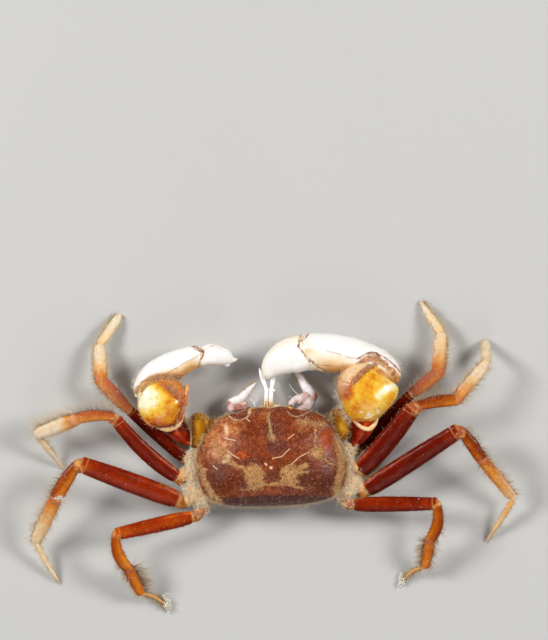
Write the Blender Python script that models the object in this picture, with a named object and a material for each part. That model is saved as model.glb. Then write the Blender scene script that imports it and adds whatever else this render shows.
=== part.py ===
"""A life-size small burrowing crab (Typhlocarcinus), resting on its belly with its legs spread.

Metres, +Z up. +Y is the way the crab faces, +X is its right-hand side, and the origin is the
middle of the flat underside of its tail, on the floor. Sizes below are in millimetres.
"""

import math

import bmesh
import bpy
from mathutils import Matrix, Vector

for old in list(bpy.data.objects):
    bpy.data.objects.remove(old, do_unlink=True)

MM = 0.001
SEAM = 0.06                # clear line between neighbouring plates of shell
BODY_YAW = 2.3             # degrees the body is turned to its left

# carapace, measured from the line of its greatest breadth
CARAPACE_HALF = 7.0
CARAPACE_FRONT = 5.15
CARAPACE_BACK = 4.1
MARGIN_Z = 3.35            # height of the side edge of the carapace
CREST_Z = 5.7              # height of the top of the carapace
UNDER_Z = 2.9              # underside of the carapace's turned-in edge
THORAX_HALF = 5.35
THORAX_FRONT = 4.35
THORAX_BACK = 3.9
FRONT_NOTCH = 0.22         # depth of the notch between the two lobes of the front
SOCKET_DEEP = 0.34         # eye sockets: depth, distance from the midline, half breadth
SOCKET_X = 3.05
SOCKET_HALF = 0.95
BELLY_Z = 0.12             # the breastplate stands this far off the floor
TAIL_THICK = 0.55
TAIL_BACK = 4.25
TAIL_FRONT = 1.9
# the outer face of the tail from its tip to its root, and which way it faces off the straight
TAIL_LINE = ((TAIL_FRONT, 0.0), (1.3, 0.0), (0.5, 0.0), (-0.7, 0.0), (-2.0, 0.0), (-3.35, 0.0),
             (-4.0, 0.3), (-4.28, 1.0), (-4.2, 2.1))
TAIL_LEAN = {(-4.0, 0.3): (0.6, 0.8), (-4.28, 1.0): (1.0, 0.1), (-4.2, 2.1): (1.0, -0.1)}

RED = (0.23, 0.045, 0.018)
ORANGE = (0.42, 0.13, 0.03)
CREAM = (0.70, 0.52, 0.30)
BROWN = (0.21, 0.07, 0.035)
IVORY = (0.86, 0.83, 0.76)
AMBER = (0.70, 0.33, 0.06)
PALE = (0.72, 0.62, 0.52)

# Each leg: where its base leaves the breastplate, then length, heading and rise of
# base, merus, carpus, propodus and dactylus, and the breadth of the last four.
LEGS = {
    "leg_right_1": ((4.95, 1.46, 1.68), (3.15, -5.5, 2.2), (7.2, 46.3, 7.2), (3.3, 38.0, -3.5),
                    (4.0, 82.5, -14.5), (3.85, 122.5, -21.5), (1.15, 1.15, 1.12, 0.62)),
    "leg_right_2": ((5.0, 0.42, 2.08), (3.25, -18.0, 9.5), (7.85, 47.8, 16.3), (4.2, 11.5, -6.8),
                    (4.7, 50.4, -11.0), (3.9, 88.9, -58.9), (1.42, 1.0, 0.98, 0.6)),
    "leg_right_3": ((4.9, -0.95, 2.22), (4.1, -20.0, 5.3), (10.4, 31.5, 12.7), (3.55, -49.3, -11.4),
                    (5.35, -50.6, -24.2), (5.25, -121.9, -21.0), (1.58, 1.08, 1.06, 0.58)),
    "leg_right_4": ((4.35, -2.05, 2.26), (3.6, -25.5, 2.2), (7.95, -1.7, 10.9), (3.45, -98.4, -13.4),
                    (3.2, -101.8, -30.1), (3.0, -143.2, -27.0), (1.36, 1.14, 1.08, 0.5)),
    "leg_left_1": ((-5.05, 1.56, 1.68), (3.35, -155.0, 2.1), (7.05, 138.6, 6.5), (3.95, 134.1, -2.9),
                   (3.5, 93.7, -16.4), (3.75, 55.6, -21.0), (1.15, 1.15, 1.05, 0.66)),
    "leg_left_2": ((-5.05, 0.66, 2.08), (3.65, -146.5, 8.3), (8.85, 139.2, 14.4), (3.95, 178.8, -7.3),
                   (4.25, -154.4, -20.7), (4.9, -53.3, -33.0), (1.55, 1.1, 1.22, 0.55)),
    "leg_left_3": ((-5.15, -0.7, 2.2), (4.4, -135.0, 4.8), (10.5, 159.3, 12.6), (3.95, -121.7, -10.2),
                   (5.15, -117.1, -25.4), (4.7, -61.3, -23.5), (1.7, 1.18, 1.16, 0.58)),
    "leg_left_4": ((-4.3, -1.95, 2.26), (4.05, -134.5, 1.9), (7.85, -165.6, 11.0), (3.7, -71.4, -14.0),
                   (3.2, -64.9, -29.8), (3.2, -31.4, -24.0), (1.34, 1.12, 1.1, 0.5)),
}
DACTYL_BOW = {"leg_right_4": -0.42, "leg_left_4": 0.42, "leg_left_3": 0.1, "leg_right_3": -0.08}

MERUS_SHAPE = ((0.0, 0.56), (0.1, 0.84), (0.32, 1.0), (0.68, 0.95), (0.92, 0.8), (1.0, 0.7))
CARPUS_SHAPE = ((0.0, 0.62), (0.22, 0.86), (0.6, 1.0), (0.88, 0.98), (1.0, 0.84))
PROPODUS_SHAPE = ((0.0, 0.82), (0.2, 1.0), (0.6, 0.98), (0.9, 0.8), (1.0, 0.72))
DACTYL_SHAPE = ((0.0, 0.9), (0.15, 1.0), (0.5, 0.9), (0.85, 0.86), (1.0, 0.84))


def paint(name, colour, roughness):
    material = bpy.data.materials.get(name)
    if material is None:
        material = bpy.data.materials.new(name)
        material.use_nodes = True
        shader = material.node_tree.nodes["Principled BSDF"]
        shader.inputs["Base Color"].default_value = (*colour, 1.0)
        shader.inputs["Roughness"].default_value = roughness
        shader.inputs["Metallic"].default_value = 0.0
    return material


def make_object(name, bm, material):
    bmesh.ops.recalc_face_normals(bm, faces=bm.faces)
    mesh = bpy.data.meshes.new(name)
    bm.to_mesh(mesh)
    bm.free()
    mesh.shade_smooth()
    mesh.set_sharp_from_angle(angle=math.radians(40))
    obj = bpy.data.objects.new(name, mesh)
    bpy.context.scene.collection.objects.link(obj)
    mesh.materials.append(material)
    return obj


def power(value, exponent):
    return math.copysign(abs(value) ** exponent, value)


def ring(centre, side, up, half_side, half_up, count, squareness=2.3):
    """A closed loop of points round centre, from a circle (2) towards a square (high numbers)."""
    points = []
    for k in range(count):
        angle = 2 * math.pi * k / count
        points.append(centre
                      + side * (half_side * power(math.cos(angle), 2 / squareness))
                      + up * (half_up * power(math.sin(angle), 2 / squareness)))
    return points


def skin(rings):
    """A closed mesh, in metres, over loops of points given in millimetres."""
    bm = bmesh.new()
    loops = [[bm.verts.new(point * MM) for point in loop] for loop in rings]
    count = len(loops[0])
    for low, high in zip(loops, loops[1:]):
        for k in range(count):
            bm.faces.new((low[k], low[(k + 1) % count], high[(k + 1) % count], high[k]))
    bm.faces.new(list(reversed(loops[0])))
    bm.faces.new(loops[-1])
    bmesh.ops.recalc_face_normals(bm, faces=bm.faces)
    return bm


def slice_off(bm, point, normal):
    """Removes what lies on the side the normal points to, and closes the cut with a flat face."""
    cut = bmesh.ops.bisect_plane(bm, geom=bm.verts[:] + bm.edges[:] + bm.faces[:], dist=1e-9,
                                 plane_co=point * MM, plane_no=normal, clear_outer=True)
    edges = [e for e in cut["geom_cut"] if isinstance(e, bmesh.types.BMEdge)]
    if edges:
        bmesh.ops.edgenet_fill(bm, edges=edges)
    bmesh.ops.recalc_face_normals(bm, faces=bm.faces)


def boolean(obj, other, operation):
    modifier = obj.modifiers.new(operation.lower() + "_" + other.name, "BOOLEAN")
    modifier.operation = operation
    modifier.solver = "EXACT"
    modifier.object = other


def helper(obj):
    obj.hide_render = True
    obj.display_type = "WIRE"
    return obj


def direction(heading, rise):
    h, r = math.radians(heading), math.radians(rise)
    return Vector((math.cos(r) * math.cos(h), math.cos(r) * math.sin(h), math.sin(r)))


def across(along, roll):
    """The two directions across a limb: its broad way, and its thin way."""
    flat = along.cross(Vector((0, 0, 1))).normalized()
    turn = Matrix.Rotation(math.radians(roll), 3, along)
    return turn @ flat, turn @ flat.cross(along).normalized()


def along_path(path, t):
    """A point on a smooth curve through the path's points, t from 0 to 1."""
    count = len(path) - 1
    i = min(int(t * count), count - 1)
    u = t * count - i
    p1, p2 = path[i], path[i + 1]
    p0 = path[i - 1] if i > 0 else p1 * 2 - p2
    p3 = path[i + 2] if i + 2 <= count else p2 * 2 - p1
    return 0.5 * ((2 * p1) + (p2 - p0) * u + (2 * p0 - 5 * p1 + 4 * p2 - p3) * u * u
                  + (3 * p1 - p0 - 3 * p2 + p3) * u * u * u)


def sweep(path, halves, count=12, steps=12, roll=0.0, squareness=2.3):
    """A tube along a curved path. halves holds (half breadth, half thickness) at each path point."""
    rings = []
    for n in range(steps + 1):
        t = n / steps
        here = along_path(path, t)
        ahead = (along_path(path, min(t + 0.02, 1)) - along_path(path, max(t - 0.02, 0))).normalized()
        wide, thick = across(ahead, roll)
        x = t * (len(halves) - 1)
        i = min(int(x), len(halves) - 2)
        a = halves[i][0] + (halves[i + 1][0] - halves[i][0]) * (x - i)
        b = halves[i][1] + (halves[i + 1][1] - halves[i][1]) * (x - i)
        rings.append(ring(here, wide, thick, a, b, count, squareness))
    return skin(rings)


def superellipse(angle, half, front, back, grow=0.0):
    """The outline of the body from above: broad ovals that differ before and behind."""
    c, s = math.cos(angle), math.sin(angle)
    reach, bend = (front, 2.4) if s >= 0 else (back, 3.5)
    reach, half = reach + grow, half + grow
    r = (abs(c / half) ** bend + abs(s / reach) ** bend) ** (-1 / bend)
    return Vector((r * c, r * s, 0))


def dip(x, centre, reach):
    """A smooth hollow: 1 at the centre, 0 beyond its reach."""
    t = (x - centre) / reach
    return (1 - t * t) ** 2 if abs(t) < 1 else 0.0


def carapace_edge(angle, grow=0.0):
    """The carapace's outline, with a two-lobed front and an eye socket on each side of it."""
    edge = superellipse(angle, CARAPACE_HALF, CARAPACE_FRONT, CARAPACE_BACK, grow)
    if edge.y > 0:
        x = abs(edge.x)
        edge.y -= (FRONT_NOTCH * dip(x, 0.0, 0.75) + SOCKET_DEEP * dip(x, SOCKET_X, SOCKET_HALF)
                   - 0.1 * dip(x, 1.1, 0.9))
    return edge


def outline_angles(count):
    """Angles round the body, closer together along the front, where the outline is busiest."""
    angles = []
    for k in range(count):
        a = 2 * math.pi * k / count
        angles.append(a - 0.22 * math.sin(2 * a) if math.sin(a) > 0 else a)
    return angles


def turned(obj):
    """Turns a piece of the body, modelled square to the axes, to the body's own heading."""
    obj.data.transform(Matrix.Rotation(math.radians(BODY_YAW), 4, "Z"))
    return obj


def body_point(x, y, z):
    return Matrix.Rotation(math.radians(BODY_YAW), 3, "Z") @ Vector((x, y, z))


def build_carapace(name, grow=0.0, count=56):
    rings = []
    angles = outline_angles(count)
    for share, z in ((0.9, UNDER_Z), (0.965, UNDER_Z + 0.1)):
        rings.append([carapace_edge(a, grow) * share + Vector((0, 0, z - grow)) for a in angles])
    for share in (1.0, 0.965, 0.88, 0.72, 0.5, 0.24):
        loop = []
        for a in angles:
            edge = carapace_edge(a, grow) * share
            dome = (1 - share ** 2.6) ** 0.62
            front = max(edge.y, 0) / CARAPACE_FRONT
            rear = max(-edge.y, 0) / CARAPACE_BACK
            height = MARGIN_Z + (CREST_Z - MARGIN_Z) * dome - 0.42 * front ** 2 + 0.18 * rear ** 2
            loop.append(edge + Vector((0, 0, height + grow)))
        rings.append(loop)
    bm = skin(rings)
    return turned(make_object(name, bm, paint("carapace", BROWN, 0.4)))


def build_thorax(name, grow=0.0, count=32):
    rings = []
    for half, front, back, z in ((0.68, 0.48, 0.88, BELLY_Z), (0.87, 0.7, 0.97, 0.42),
                                 (0.97, 0.86, 1.0, 1.1), (1.0, 0.95, 0.98, 2.0),
                                 (0.98, 1.0, 0.95, UNDER_Z - SEAM)):
        z = z - grow if z == BELLY_Z else (z + grow if z > 2.5 else z)
        rings.append([superellipse(2 * math.pi * k / count, THORAX_HALF * half,
                                   THORAX_FRONT * front, THORAX_BACK * back, grow)
                      + Vector((0, 0, z)) for k in range(count)])
    return turned(make_object(name, skin(rings), paint("sternum", BROWN, 0.45)))


def tail_half(y):
    """Half the breadth of the folded tail at y: narrow tip, then widening to its root."""
    t = (TAIL_FRONT - y) / (TAIL_FRONT + TAIL_BACK)
    return 0.34 + 0.5 * min(t / 0.22, 1.0) ** 0.6 + 0.62 * t ** 2.2


def build_tail(name, grow=0.0):
    """A plate folded under the body: flat along the belly, then up behind to the shell's hind edge."""
    rings = []
    for y, z in TAIL_LINE:
        half = tail_half(y if z == 0 else -TAIL_BACK) * (1.0 if z == 0 else 1.12) + grow
        lean = TAIL_LEAN.get((y, z), (0.0, 1.0))
        end = grow if (y, z) == TAIL_LINE[0] else 0.0
        outer = Vector((0, y - lean[0] * grow + end, z - lean[1] * grow))
        inner = outer + Vector((0, lean[0], lean[1])) * (TAIL_THICK + 2 * grow)
        if (y, z) == TAIL_LINE[-1] and grow:
            outer.z += grow
            inner.z += grow
        rings.append([outer - Vector((half, 0, 0)), outer + Vector((half, 0, 0)),
                      inner + Vector((half * 0.94, 0, 0)), inner - Vector((half * 0.94, 0, 0))])
    return turned(make_object(name, skin(rings), paint("tail", BROWN, 0.45)))


def limb_segment(name, start, end, before, after, shape, breadth, thickness, roll, material,
                 count=8, bow=0.0, floor=False):
    """One length of a leg, cut at each end on the plane halfway round the bend to its neighbour."""
    axis = end - start
    length = axis.length
    along = axis.normalized()
    wide, thick = across(along, roll)
    plane_a = (before + along).normalized() if before is not None else along
    plane_b = (after + along).normalized() if after is not None else along
    start = start + along * (SEAM / 2)
    end = end - along * (SEAM / 2 if after is not None else 0)
    rings = []
    for t, share in shape:
        middle = start.lerp(end, t) + wide * (bow * 4 * t * (1 - t))
        loop = ring(middle, wide, thick, breadth / 2 * share, thickness / 2 * share ** 0.6, count, 2.2)
        near_a = max(0.0, 1 - t * length / (0.8 * breadth))
        near_b = max(0.0, 1 - (1 - t) * length / (0.8 * breadth))
        for normal, near in ((plane_a, near_a), (plane_b, near_b)):
            if near > 0:
                loop = [p - along * ((p - middle).dot(normal) / along.dot(normal) * near) for p in loop]
        rings.append(loop)
    bm = skin(rings)
    if floor:
        slice_off(bm, Vector((0, 0, 0)), Vector((0, 0, -1)))
    return make_object(name, bm, material)


def build_leg(name, row, thorax_cutter):
    root, base, merus, carpus, propodus, dactylus, breadths = row
    point = Vector(root)
    points, ways = [point], []
    for length, heading, rise in (base, merus, carpus, propodus, dactylus):
        way = direction(heading, rise)
        point = point + way * length
        ways.append(way)
        points.append(point)
    roll = 16 if "right" in name else -16
    hip = limb_segment(name + "_base", points[0], points[1], None, ways[1],
                       ((0, 0.95), (0.36, 1.04), (0.5, 0.78), (0.6, 0.76), (0.86, 0.92), (1, 0.84)),
                       1.08, 0.92, 0,
                       paint("leg_base", CREAM, 0.6))
    boolean(hip, thorax_cutter, "DIFFERENCE")
    limb_segment(name + "_merus", points[1], points[2], ways[0], ways[2], MERUS_SHAPE,
                 breadths[0], max(0.66, breadths[0] * 0.6), roll, paint("leg_merus", RED, 0.3))
    limb_segment(name + "_carpus", points[2], points[3], ways[1], ways[3], CARPUS_SHAPE,
                 breadths[1], breadths[1] * 0.72, roll, paint("leg_carpus", ORANGE, 0.35))
    limb_segment(name + "_propodus", points[3], points[4], ways[2], ways[4], PROPODUS_SHAPE,
                 breadths[2], breadths[2] * 0.66, roll, paint("leg_propodus", ORANGE, 0.4))
    limb_segment(name + "_dactylus", points[4], points[5], ways[3], None, DACTYL_SHAPE,
                 breadths[3], max(0.52, breadths[3] * 0.86), roll, paint("leg_dactylus", CREAM, 0.5),
                 bow=DACTYL_BOW.get(name, 0.0), floor=True)


def wedge(name, corner, ahead, above, grow=0.0):
    """A big block filling the space ahead of and above a corner, to part a finger from its palm."""
    ahead, above = ahead.normalized(), above.normalized()
    above = (above - ahead * above.dot(ahead)).normalized()
    across_ = ahead.cross(above)
    corner = corner - ahead * grow - above * grow
    bm = bmesh.new()
    size = 14
    low = [corner - across_ * size, corner + across_ * size,
           corner + across_ * size + ahead * size, corner - across_ * size + ahead * size]
    bottom = [bm.verts.new(p * MM) for p in low]
    top = [bm.verts.new((p + above * size) * MM) for p in low]
    for k in range(4):
        bm.faces.new((bottom[k], bottom[(k + 1) % 4], top[(k + 1) % 4], top[k]))
    bm.faces.new(list(reversed(bottom)))
    bm.faces.new(top)
    return helper(make_object(name, bm, paint("leg_base", CREAM, 0.6)))


CHELIPEDS = {
    # the big claw, on the crab's right
    "cheliped_right": {
        "ischium": ([(4.3, 3.35, 1.75), (5.5, 2.95, 2.05), (7.1, 2.15, 2.6)],
                    [(0.62, 0.5), (0.62, 0.5), (0.6, 0.5)]),
        "merus": ([(6.6, 1.9, 2.45), (7.7, 3.2, 2.95), (8.5, 4.4, 3.0), (9.35, 5.9, 3.1)],
                  [(0.62, 0.5), (1.2, 0.95), (1.42, 1.15), (1.38, 1.2)]),
        "carpus": ([(8.55, 4.35, 3.9), (8.95, 5.4, 4.15), (9.25, 6.8, 4.25), (9.4, 8.0, 4.15), (9.4, 9.3, 3.8)],
                   [(0.75, 0.8), (1.75, 1.6), (2.52, 1.95), (2.45, 1.85), (1.7, 1.3)]),
        "hand": ([(12.0, 7.6, 3.5), (11.5, 8.95, 3.4), (9.6, 10.0, 3.35), (7.3, 10.25, 3.3),
                  (5.0, 10.25, 3.2), (3.15, 10.35, 3.05), (1.55, 9.95, 2.9), (0.35, 9.3, 2.8),
                  (-0.3, 8.5, 2.75), (-0.4, 7.95, 2.7)],
                 [(0.55, 0.6), (1.4, 1.3), (1.8, 1.7), (1.78, 1.75), (1.9, 1.75), (1.74, 1.6),
                  (1.72, 1.35), (1.42, 1.1), (0.8, 0.75), (0.28, 0.35)]),
        "ischium_merus": ((6.85, 2.25, 2.5), (0.75, 0.6, 0.25)),
        "merus_carpus": ((8.9, 5.3, 3.35), (0.25, 0.75, 0.62)),
        "carpus_hand": ((9.3, 8.75, 3.6), (-0.2, 0.84, -0.5)),
        "finger_corner": (3.35, 10.3, 2.75),
        "finger_ahead": (-0.945, -0.327, 0.0),
        "finger_above": (0.12, 0.42, 0.9),
    },
    # the small claw, on its left
    "cheliped_left": {
        "ischium": ([(-4.3, 3.5, 1.75), (-5.4, 3.0, 1.95), (-7.2, 2.05, 2.5)],
                    [(0.58, 0.48), (0.58, 0.48), (0.56, 0.46)]),
        "merus": ([(-6.7, 1.85, 2.35), (-8.0, 2.75, 2.75), (-9.0, 3.8, 2.9), (-9.9, 5.0, 3.0)],
                  [(0.55, 0.46), (1.0, 0.85), (1.2, 0.98), (1.15, 1.0)]),
        "carpus": ([(-9.35, 3.45, 3.75), (-9.95, 4.2, 3.95), (-10.5, 5.4, 4.05), (-10.85, 6.5, 3.95), (-10.9, 7.6, 3.6)],
                   [(0.95, 0.8), (1.75, 1.4), (2.12, 1.65), (1.9, 1.5), (1.25, 0.95)]),
        "hand": ([(-12.5, 6.4, 3.3), (-11.75, 7.5, 3.2), (-10.35, 8.5, 3.15), (-8.85, 9.25, 3.1),
                  (-7.1, 9.95, 2.95), (-5.6, 10.1, 2.8), (-4.35, 9.95, 2.7), (-3.6, 9.65, 2.65),
                  (-3.3, 9.5, 2.6)],
                 [(0.5, 0.5), (1.05, 1.05), (1.38, 1.3), (1.34, 1.3), (1.1, 1.15), (1.1, 0.95),
                  (0.88, 0.72), (0.5, 0.5), (0.26, 0.3)]),
        "ischium_merus": ((-6.95, 2.15, 2.42), (-0.78, 0.57, 0.25)),
        "merus_carpus": ((-9.7, 4.45, 3.3), (-0.25, 0.7, 0.66)),
        "carpus_hand": ((-10.9, 7.15, 3.4), (0.1, 0.86, -0.5)),
        "finger_corner": (-6.5, 9.95, 2.65),
        "finger_ahead": (0.98, 0.18, 0.0),
        "finger_above": (-0.1, 0.42, 0.9),
    },
}


def build_cheliped(name, parts, thorax_cutter, carapace_cutter):
    """The claw-bearing limb, modelled whole and parted by thin cuts."""
    def tube(key, count, steps, squareness=2.3):
        path, halves = parts[key]
        return sweep([Vector(p) for p in path], halves, count, steps, squareness=squareness)

    half = SEAM / 2
    at0, way0 = Vector(parts["ischium_merus"][0]), Vector(parts["ischium_merus"][1]).normalized()
    bm = tube("ischium", 10, 5)
    slice_off(bm, at0 - way0 * half, way0)
    ischium = make_object(name + "_ischium", bm, paint("cheliped_merus", RED, 0.35))
    boolean(ischium, thorax_cutter, "DIFFERENCE")

    at, way = Vector(parts["merus_carpus"][0]), Vector(parts["merus_carpus"][1]).normalized()
    bm = tube("merus", 12, 6)
    slice_off(bm, at - way * half, way)
    slice_off(bm, at0 + way0 * half, -way0)
    merus = make_object(name + "_merus", bm, paint("cheliped_merus", RED, 0.35))
    boolean(merus, carapace_cutter, "DIFFERENCE")

    bm = tube("carpus", 16, 9, 2.6)
    slice_off(bm, at + way * half, -way)
    at2, way2 = Vector(parts["carpus_hand"][0]), Vector(parts["carpus_hand"][1]).normalized()
    slice_off(bm, at2 - way2 * half, way2)
    make_object(name + "_carpus", bm, paint("cheliped_carpus", AMBER, 0.3))

    palm_bm = tube("hand", 16, 18, 2.3)
    slice_off(palm_bm, at2 + way2 * half, -way2)
    finger_bm = palm_bm.copy()
    corner = Vector(parts["finger_corner"])
    ahead, above = Vector(parts["finger_ahead"]), Vector(parts["finger_above"])
    outer = wedge(name + "_finger_space", corner, ahead, above, grow=half)
    inner = wedge(name + "_finger_block", corner, ahead, above, grow=-half)
    palm = make_object(name + "_palm", palm_bm, paint("claw", IVORY, 0.25))
    boolean(palm, outer, "DIFFERENCE")
    finger = make_object(name + "_dactylus", finger_bm, paint("claw", IVORY, 0.25))
    boolean(finger, inner, "INTERSECT")


def build_feeler(name, path, halves, count, steps, material, cutters):
    obj = make_object(name, sweep([Vector(p) for p in path], halves, count, steps), material)
    for cutter in cutters:
        boolean(obj, cutter, "DIFFERENCE")


def build_eye(side, cutters):
    """A tiny eye on its short fixed stalk, in the inner corner of its socket."""
    path = [body_point(side * x, y, z) for x, y, z in
            ((1.35, 4.0, 2.45), (1.55, 4.55, 2.5), (1.78, 4.95, 2.52), (1.9, 5.22, 2.52))]
    name = "eye_right" if side > 0 else "eye_left"
    build_feeler(name, path, [(0.28, 0.26), (0.28, 0.26), (0.34, 0.3), (0.2, 0.2)], 8, 6,
                 paint("eye", (0.05, 0.03, 0.02), 0.15), cutters)


def main():
    build_carapace("carapace")
    thorax = build_thorax("sternum")
    build_tail("tail")
    tail_cutter = helper(build_tail("tail_space", SEAM))
    boolean(thorax, tail_cutter, "DIFFERENCE")
    thorax_cutter = helper(build_thorax("thorax_space", SEAM))
    carapace_cutter = helper(build_carapace("carapace_space", SEAM))

    for name, row in LEGS.items():
        build_leg(name, row, thorax_cutter)
    for name, parts in CHELIPEDS.items():
        build_cheliped(name, parts, thorax_cutter, carapace_cutter)

    pale = paint("mouthpart", PALE, 0.4)
    front = [thorax_cutter, carapace_cutter]
    build_feeler("maxilliped_right",
                 [(2.3, 2.9, 0.75), (2.9, 4.3, 1.0), (3.35, 5.4, 1.3), (4.05, 6.45, 1.6), (3.45, 7.55, 1.5), (2.62, 8.5, 1.35)],
                 [(0.55, 0.3), (0.66, 0.32), (0.66, 0.34), (0.5, 0.36), (0.34, 0.3), (0.26, 0.26)],
                 8, 10, pale, front)
    build_feeler("maxilliped_left",
                 [(-2.2, 2.95, 0.75), (-2.75, 4.3, 1.0), (-3.2, 5.2, 1.3), (-3.7, 5.95, 1.65), (-2.75, 6.7, 1.9), (-1.6, 7.45, 2.0)],
                 [(0.55, 0.3), (0.66, 0.32), (0.62, 0.34), (0.42, 0.36), (0.36, 0.3), (0.26, 0.26)],
                 8, 10, pale, front)
    build_feeler("antennule_right",
                 [(-0.02, 4.7, 2.35), (-0.04, 5.6, 2.3), (-0.05, 6.5, 2.2), (0.05, 7.1, 2.05), (0.12, 7.75, 1.85)],
                 [(0.3, 0.28), (0.28, 0.26), (0.27, 0.26), (0.26, 0.26), (0.25, 0.25)],
                 8, 7, pale, front)
    build_feeler("antennule_left",
                 [(-0.66, 4.7, 2.35), (-0.64, 5.6, 2.3), (-0.64, 6.5, 2.2), (-0.85, 7.5, 2.0), (-1.12, 8.6, 1.8)],
                 [(0.3, 0.28), (0.28, 0.26), (0.27, 0.26), (0.26, 0.26), (0.25, 0.25)],
                 8, 7, pale, front)
    build_eye(1, front)
    build_eye(-1, front)


main()
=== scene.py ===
"""Looks of the small burrowing crab: shell plates, felt and hairs, their materials, and the studio.

Lengths are in millimetres until a mesh is made. +X is the crab's right-hand side, +Y the way it
faces, +Z up, and the floor is z = 0.
"""

import math

import bpy
import numpy as np
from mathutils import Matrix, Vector


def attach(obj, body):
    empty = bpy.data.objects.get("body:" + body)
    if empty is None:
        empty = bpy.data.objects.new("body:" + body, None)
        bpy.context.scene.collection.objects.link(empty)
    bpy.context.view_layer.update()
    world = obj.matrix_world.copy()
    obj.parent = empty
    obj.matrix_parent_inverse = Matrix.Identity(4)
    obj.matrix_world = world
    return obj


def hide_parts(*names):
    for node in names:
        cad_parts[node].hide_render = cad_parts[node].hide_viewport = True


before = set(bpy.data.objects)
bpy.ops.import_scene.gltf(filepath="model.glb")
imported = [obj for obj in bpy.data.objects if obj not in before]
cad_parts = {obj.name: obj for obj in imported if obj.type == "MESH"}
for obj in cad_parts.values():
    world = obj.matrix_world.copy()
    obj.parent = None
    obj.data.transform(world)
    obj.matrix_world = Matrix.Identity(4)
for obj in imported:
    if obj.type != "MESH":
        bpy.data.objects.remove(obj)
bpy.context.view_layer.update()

MM = 0.001
BODY_YAW = 2.3
rng = np.random.default_rng(54)

# ---------------------------------------------------------------- small maths


def fade(x, low, high):
    """0 below low, 1 above high, smooth between."""
    t = np.clip((np.asarray(x, float) - low) / (high - low), 0, 1)
    return t * t * (3 - 2 * t)


def unit(v):
    return v / np.maximum(np.linalg.norm(v, axis=-1, keepdims=True), 1e-12)


def lattice(ix, iy, iz, seed):
    h = (ix * 73856093) ^ (iy * 19349663) ^ (iz * 83492791) ^ (seed * 40503 + 12345)
    h = (h ^ (h >> 13)) * 1274126177
    h = h ^ (h >> 16)
    return (h & 0xFFFFFF) / float(0xFFFFFF)


def noise(p, size, seed=0, octaves=1):
    """Smooth noise between -1 and 1 whose blobs are about size millimetres across."""
    p = np.asarray(p, float)
    total, weight, amount = 0.0, 0.0, 1.0
    q = p / size
    for octave in range(octaves):
        base = np.floor(q).astype(np.int64)
        f = q - base
        f = f * f * (3 - 2 * f)
        value = 0.0
        for dx in (0, 1):
            for dy in (0, 1):
                for dz in (0, 1):
                    w = (np.where(dx, f[..., 0], 1 - f[..., 0]) * np.where(dy, f[..., 1], 1 - f[..., 1])
                         * np.where(dz, f[..., 2], 1 - f[..., 2]))
                    value = value + w * lattice(base[..., 0] + dx, base[..., 1] + dy,
                                                base[..., 2] + dz, seed + octave * 7)
        total = total + amount * (value * 2 - 1)
        weight += amount
        amount *= 0.5
        q = q * 2.03 + 11.7
    return total / weight


def spin_z(p, degrees):
    a = math.radians(degrees)
    c, s = math.cos(a), math.sin(a)
    p = np.asarray(p, float)
    return np.stack([p[..., 0] * c - p[..., 1] * s, p[..., 0] * s + p[..., 1] * c, p[..., 2]], axis=-1)


def heading_vector(heading, rise):
    h, r = math.radians(heading), math.radians(rise)
    return np.array([math.cos(r) * math.cos(h), math.cos(r) * math.sin(h), math.sin(r)])


def curve_through(knots, values, t):
    """A smooth curve through values at knots, read at t."""
    values = np.asarray(values, float)
    count = len(knots)
    slopes = np.zeros_like(values)
    for i in range(count):
        lo, hi = max(i - 1, 0), min(i + 1, count - 1)
        slopes[i] = (values[hi] - values[lo]) / (knots[hi] - knots[lo])
    i = np.clip(np.searchsorted(knots, t, side="right") - 1, 0, count - 2)
    step = (knots[i + 1] - knots[i])
    x = (t - knots[i]) / step
    if values.ndim > 1:
        x, step = x[:, None], step[:, None]
    h00, h10 = 2 * x ** 3 - 3 * x ** 2 + 1, x ** 3 - 2 * x ** 2 + x
    h01, h11 = -2 * x ** 3 + 3 * x ** 2, x ** 3 - x ** 2
    return h00 * values[i] + h10 * step * slopes[i] + h01 * values[i + 1] + h11 * step * slopes[i + 1]


# ---------------------------------------------------------------- surfaces


class Surface:
    """A closed surface. u goes round it and v along it, both from 0 to 1; place(u, v) gives points."""

    def frame(self, u, v):
        e = 0.002
        p = self.place(u, v)
        v1, v0 = np.minimum(v + e, 1), np.maximum(v - e, 0)
        du = (self.place(u + e, v) - self.place(u - e, v)) / (2 * e)
        dv = (self.place(u, v1) - self.place(u, v0)) / (v1 - v0)[:, None]
        n = np.cross(dv, du) * self.outward
        area = np.linalg.norm(n, axis=1)
        return p, unit(n), unit(du), unit(dv), area

    def grid(self, around, along, spread=0.6):
        """Points, four-sided and three-sided faces, and each point's u and v."""
        t = np.linspace(0, 1, along)
        v = (1 - spread) * t + spread * (0.5 - 0.5 * np.cos(np.pi * t))
        u = np.arange(around) / around
        uu, vv = np.meshgrid(u, v)
        uu, vv = uu.ravel(), vv.ravel()
        points = self.place(uu, vv)
        k = np.arange(around * (along - 1)).reshape(along - 1, around)
        nxt = np.roll(k, -1, axis=1)
        quads = np.stack([k, k + around, nxt + around, nxt], axis=-1).reshape(-1, 4)
        last = around * (along - 1)
        ends = np.stack([points[:around].mean(axis=0), points[last:].mean(axis=0)])
        total = len(points)
        a = np.arange(around)
        b = np.roll(a, -1)
        low = np.stack([np.full(around, total), a, b], axis=-1)
        high = np.stack([np.full(around, total + 1), last + b, last + a], axis=-1)
        points = np.concatenate([points, ends])
        tris = np.concatenate([low, high])
        if self.outward < 0:
            quads, tris = quads[:, ::-1], tris[:, ::-1]
        return points, quads, tris, np.append(uu, [0, 0]), np.append(vv, [0, 1])


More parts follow.
